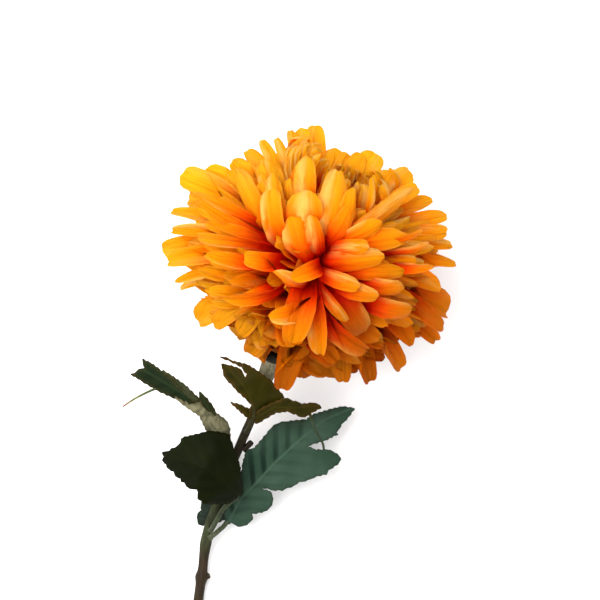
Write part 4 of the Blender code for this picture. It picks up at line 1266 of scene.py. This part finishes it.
# A petal's half width from root to tip, as a share of its greatest
PETAL_OUTLINE = (
    (0.0, 0.36), (0.3, 0.56), (0.52, 0.85), (0.7, 1.0), (0.84, 0.98), (0.93, 0.88), (0.98, 0.7), (1.0, 0.5),
)
TIP_FROM = 0.8  # from here on the tip is rounded and notched
TIP_ROUNDING = 0.015  # how far the tip's corners fall back, as a share of the petal's length
TIP_NOTCH = 0.008
NOTCH_WAVES = 3.6
POINT_FROM = 0.5  # from here on a pointed petal narrows, at this rate
POINT_LOSS = 1.1
TWIST_AT_ROOT = 0.2
CURL_FROM = 0.55  # from here on it curls, and this gain brings its tip about as far out as its curl says
CURL_GAIN = 5.0
RUFFLE_WAVES = 9.0
RUFFLE = 0.26
# A petal's form, worked out at each point from u along it, v across it and the petal's own values
PETAL_SUMS = (
    ("squared", "MULTIPLY", "v", "v"),
    ("size", "ABSOLUTE", "v"),
    ("end", "SUBTRACT", "u", TIP_FROM),
    ("end", "MAXIMUM", "end", 0.0),
    ("end", "MULTIPLY", "end", 1 / (1 - TIP_FROM)),
    ("notch", "MULTIPLY_ADD", "v", NOTCH_WAVES, "phase"),
    ("notch", "SINE", "notch"),
    ("notch", "MULTIPLY", "notch", TIP_NOTCH),
    ("trim", "MULTIPLY_ADD", "squared", -TIP_ROUNDING, "notch"),
    ("reached", "MULTIPLY_ADD", "end", "trim", "u"),
    ("turn", "ADD", "u", TWIST_AT_ROOT),
    ("turn", "MULTIPLY", "twist", "turn"),
    ("narrowed", "SUBTRACT", "u", POINT_FROM),
    ("narrowed", "MAXIMUM", "narrowed", 0.0),
    ("narrowed", "MULTIPLY", "narrowed", POINT_LOSS),
    ("narrowed", "MULTIPLY", "narrowed", "pointed"),
    ("narrowed", "SUBTRACT", 1.0, "narrowed"),
    ("width", "MULTIPLY", "outline", "narrowed"),
    ("width", "MULTIPLY", "width", "half_width"),
    ("sideways", "MULTIPLY", "v", "width"),
    ("folded", "MULTIPLY", "size", "fold"),
    ("cupped", "MULTIPLY_ADD", "squared", "cup", "folded"),
    ("downwards", "MULTIPLY", "width", -1.0),
    ("drop", "MULTIPLY", "cupped", "downwards"),
    ("late", "SUBTRACT", "u", CURL_FROM),
    ("late", "MAXIMUM", "late", 0.0),
    ("late", "MULTIPLY", "late", "late"),
    ("curled", "MULTIPLY", "curl", -CURL_GAIN),
    ("curled", "MULTIPLY", "late", "curled"),
    ("wave", "MULTIPLY_ADD", "u", RUFFLE_WAVES, "phase"),
    ("wave", "SINE", "wave"),
    ("at_rim", "MULTIPLY", "v", "size"),
    ("wave", "MULTIPLY", "wave", "at_rim"),
    ("ruffle", "MULTIPLY", "width", RUFFLE),
    ("ruffle", "MULTIPLY", "wave", "ruffle"),
    ("taper", "SUBTRACT", 1.0, "squared"),
    ("taper", "MULTIPLY", "face", "taper"),
    ("swell", "MULTIPLY", "thickness", 0.5),
    ("swell", "MULTIPLY", "taper", "swell"),
    ("lift", "ADD", "drop", "curled"),
    ("swell", "ADD", "ruffle", "swell"),
    ("lift", "ADD", "lift", "swell"),
)


def make_petal_tree():
    """Sets a blank on every petal point and bends it along root, bend and tip, cupped, twisted and curled."""
    tree, enter = new_tree(
        "petals_on_receptacle",
        {"Blank": "NodeSocketObject", "Thickness": "NodeSocketFloat", "Table softness": "NodeSocketFloat",
         "Material": "NodeSocketMaterial"},
    )
    blank = add_node(tree, "GeometryNodeObjectInfo", {"Object": enter.outputs["Blank"]})
    copies = add_node(
        tree, "GeometryNodeInstanceOnPoints",
        {"Points": enter.outputs["Geometry"], "Instance": blank.outputs["Geometry"]},
    )
    real = add_node(tree, "GeometryNodeRealizeInstances", {"Geometry": copies})
    known = {"thickness": enter.outputs["Thickness"]}
    numbers = "along side_step face half_width twist cup fold curl phase pointed"
    for kind, names in (("FLOAT", numbers), ("FLOAT_VECTOR", "root bend tip across")):
        for name in names.split():
            known[name] = add_node(tree, "GeometryNodeInputNamedAttribute", {"Name": name}, data_type=kind)
    known["u"], known["v"] = known["along"], known["side_step"]

    outline = add_node(tree, "ShaderNodeFloatCurve", {"Value": known["u"]})
    curve = outline.mapping.curves[0]
    curve.points[0].location = PETAL_OUTLINE[0]
    curve.points[-1].location = PETAL_OUTLINE[-1]
    for place, width in PETAL_OUTLINE[1:-1]:
        curve.points.new(place, width)
    outline.mapping.update()
    known["outline"] = outline
    for name, operation, *values in PETAL_SUMS:
        feeds = {socket: known.get(value, value) for socket, value in enumerate(values)}
        known[name] = add_node(tree, "ShaderNodeMath", feeds, operation=operation)

    # The petal's middle line, and the ways across it and off its face, turned by the twist
    lines = (("first", "root", "bend"), ("second", "bend", "tip"), ("spine", "first", "second"))
    for name, start, end in lines:
        known[name] = add_node(
            tree, "ShaderNodeMix", {0: known["reached"], 4: known[start], 5: known[end]},
            data_type="VECTOR", clamp_factor=False,
        ).outputs[1]
    ahead = add_node(
        tree, "ShaderNodeVectorMath", {0: known["second"], 1: known["first"]}, operation="SUBTRACT"
    )
    ahead = add_node(tree, "ShaderNodeVectorMath", {0: ahead}, operation="NORMALIZE")
    off_face = add_node(
        tree, "ShaderNodeVectorMath", {0: ahead, 1: known["across"]}, operation="CROSS_PRODUCT"
    )
    place = known["spine"]
    for way, distance in ((known["across"], known["sideways"]), (off_face, known["lift"])):
        turned = add_node(
            tree, "ShaderNodeVectorRotate", {"Vector": way, "Axis": ahead, "Angle": known["turn"]},
            rotation_type="AXIS_ANGLE",
        )
        step = add_node(tree, "ShaderNodeVectorMath", {0: turned, "Scale": distance}, operation="SCALE")
        place = add_node(tree, "ShaderNodeVectorMath", {0: place, 1: step}, operation="ADD")

    # Petals that would pass through the table are flattened on it
    parts = add_node(tree, "ShaderNodeSeparateXYZ", {0: place})
    height, soft = parts.outputs["Z"], enter.outputs["Table softness"]
    soft = add_node(tree, "ShaderNodeMath", {0: soft, 1: soft}, operation="MULTIPLY")
    far = add_node(tree, "ShaderNodeMath", {0: height, 1: height, 2: soft}, operation="MULTIPLY_ADD")
    far = add_node(tree, "ShaderNodeMath", {0: far}, operation="SQRT")
    raised = add_node(tree, "ShaderNodeMath", {0: height, 1: far}, operation="ADD")
    pressed = add_node(tree, "ShaderNodeMath", {0: raised, 1: 0.5}, operation="MULTIPLY")
    final = add_node(
        tree, "ShaderNodeCombineXYZ", {"X": parts.outputs["X"], "Y": parts.outputs["Y"], "Z": pressed}
    )
    moved = add_node(tree, "GeometryNodeSetPosition", {"Geometry": real, "Position": final})
    smooth = add_node(tree, "GeometryNodeSetShadeSmooth", {"Geometry": moved})
    painted = add_node(
        tree, "GeometryNodeSetMaterial", {"Geometry": smooth, "Material": enter.outputs["Material"]}
    )
    add_node(tree, "NodeGroupOutput", {"Geometry": painted})
    return tree


# Patterns in a petal's cloth: width and length of their streaks in mm on a petal of this length, how far
# the pattern moves on from petal to petal, and the noise's detail and roughness. They are the satin's
# threads, drawn coarser than they are so that they show, their relief, the patches of the painted highlight
# and the pleats.
PETAL_LENGTH = 50.0
PETAL_PATTERNS = (
    (0.527, 22.7, 132.0, 5.0, 0.6),
    (0.193, 8.33, 360.0, 4.0, 0.5),
    (3.62, 10.0, 60.0, 2.0, 0.5),
    (3.22, 30.9, 108.0, 1.0, 0.5),
)


def satin_petal_cloth():
    """Thin polyester satin, dyed from the root out: fine lengthwise threads, and light shines through it."""
    made, tree, shader = new_material("dyed_polyester_satin")
    along, side, tone, redness, pale_at, pale, dye_and_shade = (
        add_node(tree, "ShaderNodeAttribute", attribute_name=name).outputs["Fac"]
        for name in ("along", "side_step", "tone", "redness", "pale_at", "pale", "dye_and_shade")
    )
    spot = add_node(tree, "ShaderNodeCombineXYZ", {"X": side, "Y": along, "Z": tone})
    patterns = []
    for width, length, shift, detail, roughness in PETAL_PATTERNS:
        scale = (PETAL_HALF_WIDTH / width, PETAL_LENGTH / length, shift)
        spread = add_node(tree, "ShaderNodeMapping", {"Vector": spot, "Scale": scale})
        pattern = add_node(
            tree, "ShaderNodeTexNoise",
            {"Vector": spread, "Scale": 1.0, "Detail": detail, "Roughness": roughness},
        )
        patterns.append(pattern.outputs["Fac"])
    threads, relief, patches, pleats = patterns

    # The dye, from the root's red to the tip's yellow orange, in lengthwise threads
    shifted = add_node(tree, "ShaderNodeMath", {0: along, 1: redness}, operation="SUBTRACT")
    ramp = add_node(tree, "ShaderNodeValToRGB", {"Fac": shifted})
    set_stops(
        ramp,
        (
            (0.0, "#e41000"), (0.38, "#f22600"), (0.50, "#fa5c00"), (0.64, "#ff9000"), (0.80, "#ffac06"),
            (1.0, "#ffc11a"),
        ),
    )
    streak = add_node(
        tree, "ShaderNodeMapRange",
        {"Value": threads, "From Min": 0.3, "From Max": 0.7, "To Min": 0.88, "To Max": 1.08},
    )
    threaded = add_node(
        tree, "ShaderNodeMix", {0: 1.0, 6: ramp.outputs["Color"], 7: streak},
        data_type="RGBA", blend_type="MULTIPLY",
    )

    # The outer part's rims are paler: a painted highlight of the satin's sheen
    near_rim = add_node(tree, "ShaderNodeMath", {0: side}, operation="ABSOLUTE")
    rim = add_node(
        tree, "ShaderNodeMapRange",
        {"Value": near_rim, "From Min": 0.78, "From Max": 1.0, "To Min": 0.0, "To Max": 0.6},
    )
    late = add_node(tree, "ShaderNodeMapRange", {"Value": shifted, "From Min": 0.45, "From Max": 0.9})
    rim_highlight = add_node(tree, "ShaderNodeMath", {0: rim, 1: late}, operation="MULTIPLY")
    edged = add_node(
        tree, "ShaderNodeMix", {0: rim_highlight, 6: threaded.outputs[2], 7: linear("#fbb840")}, data_type="RGBA"
    )

    # One streak along each petal is a painted highlight of the satin's sheen, in patches
    off = add_node(tree, "ShaderNodeMath", {0: side, 1: pale_at}, operation="SUBTRACT")
    off = add_node(tree, "ShaderNodeMath", {0: off}, operation="ABSOLUTE")
    band = add_node(
        tree, "ShaderNodeMapRange",
        {"Value": off, "From Min": 0.0, "From Max": 0.75, "To Min": 1.0, "To Max": 0.0},
        interpolation_type="SMOOTHSTEP",
    )
    highlighted = add_node(tree, "ShaderNodeMapRange", {"Value": patches, "From Min": 0.32, "From Max": 0.52})
    outer = add_node(tree, "ShaderNodeMapRange", {"Value": shifted, "From Min": 0.3, "From Max": 0.66})
    amount = band
    for share in (highlighted, pale, outer):
        amount = add_node(tree, "ShaderNodeMath", {0: amount, 1: share}, operation="MULTIPLY")
    streaked = add_node(
        tree, "ShaderNodeMix", {0: amount, 6: edged.outputs[2], 7: linear("#fdce64")}, data_type="RGBA"
    )

    # Petals turned from the lit side are browned by painted shade, with a little random dye per petal on top
    colour = add_node(
        tree, "ShaderNodeMix", {0: dye_and_shade, 6: streaked.outputs[2], 7: linear("#cc903c")},
        data_type="RGBA", blend_type="MULTIPLY",
    ).outputs[2]
    tree.links.new(colour, shader.inputs["Base Color"])
    thread_bump = add_node(tree, "ShaderNodeBump", {"Strength": 0.7, "Distance": 1.0 * MM, "Height": relief})
    pleated = add_node(
        tree, "ShaderNodeBump",
        {"Strength": 1.0, "Distance": 2.2 * MM, "Height": pleats, "Normal": thread_bump},
    )
    tree.links.new(pleated.outputs[0], shader.inputs["Normal"])
    shader.inputs["Roughness"].default_value = 0.42
    shader.inputs["Specular IOR Level"].default_value = 0.06
    glow = add_node(tree, "ShaderNodeBsdfTranslucent", {"Color": colour, "Normal": pleated})
    both = add_node(tree, "ShaderNodeMixShader", {0: 0.55, 1: shader.outputs[0], 2: glow})
    tree.links.new(both.outputs[0], tree.nodes["Material Output"].inputs["Surface"])
    return made


PLACED_SEED = 11
NEST_SEED = 12
PETAL_SEED = 13
PETAL_THICKNESS = 0.5
TABLE_SOFTNESS = 2.5  # how gently petals flatten as they meet the table

shapes = placed_petals(random.Random(PLACED_SEED)) + nest_petals(random.Random(NEST_SEED))
shapes += seeded_petals(random.Random(PETAL_SEED), shapes)
start = mesh_object(
    "petal_places", [shape["root"] / MM for shape in shapes], (), (),
    {name: [shape[name] for shape in shapes] for name in shapes[0]},
)
blank = petal_blank()
# Dyed polyester satin, slightly glossy, which glows where light falls through it
petals = grown(
    "head_petals",
    start,
    make_petal_tree(),
    {"Blank": blank, "Thickness": PETAL_THICKNESS * MM, "Table softness": TABLE_SOFTNESS * MM,
     "Material": satin_petal_cloth()},
)
bpy.data.objects.remove(blank, do_unlink=True)
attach(petals, "root")
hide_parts("bloom")


# The studio
# A near-white table under a large soft light from the photograph's upper left, with even light all round.
# The camera hangs nine metres over the head with a very long lens, so its frame is the photograph's.

TABLE_HALF = 2000.0
KEY_WAY = (-0.48, 0.24, 0.92)
KEY_DISTANCE = 1.6
KEY_SIZE = 1.4
KEY_POWER = 42.0
ROOM_STRENGTH = 1.3
CAMERA_DISTANCE = 9.0
CAMERA_LENS = 1200.0
CAMERA_CLIP = 60.0
FRAME_CENTRE = (300.0, 300.0)

corners = [(x * TABLE_HALF, y * TABLE_HALF, 0.0) for x, y in ((-1, -1), (1, -1), (1, 1), (-1, 1))]
table = mesh_object("table_top", corners, [(0, 1, 2, 3)])
# White acrylic paint, rolled on: matt, and a shade under the photograph's pure white
paint, _, shader = new_material("white_table_paint")
shader.inputs["Base Color"].default_value = linear("#fcfcfc")
shader.inputs["Roughness"].default_value = 0.9
table.data.materials.append(paint)

room = bpy.data.worlds.new("even_room_light")
bpy.context.scene.world = room
room.use_nodes = True
room.node_tree.nodes["Background"].inputs["Color"].default_value = (1.0, 1.0, 1.0, 1.0)
room.node_tree.nodes["Background"].inputs["Strength"].default_value = ROOM_STRENGTH

softbox = bpy.data.objects.new("key_light", bpy.data.lights.new("key_light", "AREA"))
softbox.data.size = KEY_SIZE
softbox.data.energy = KEY_POWER
softbox.location = Vector(HEAD_CENTRE * MM) + KEY_DISTANCE * Vector(KEY_WAY).normalized()
softbox.rotation_euler = Vector(KEY_WAY).to_track_quat("Z", "Y").to_euler()
bpy.context.scene.collection.objects.link(softbox)

camera = bpy.data.objects.new("camera_above", bpy.data.cameras.new("camera_above"))
camera.data.lens = CAMERA_LENS
camera.data.clip_end = CAMERA_CLIP
camera.location = Vector(placed(FRAME_CENTRE, HEAD_HEIGHT) * MM) + Vector((0.0, 0.0, CAMERA_DISTANCE))
bpy.context.scene.collection.objects.link(camera)
bpy.context.scene.camera = camera
bpy.context.scene.view_settings.view_transform = "Standard"
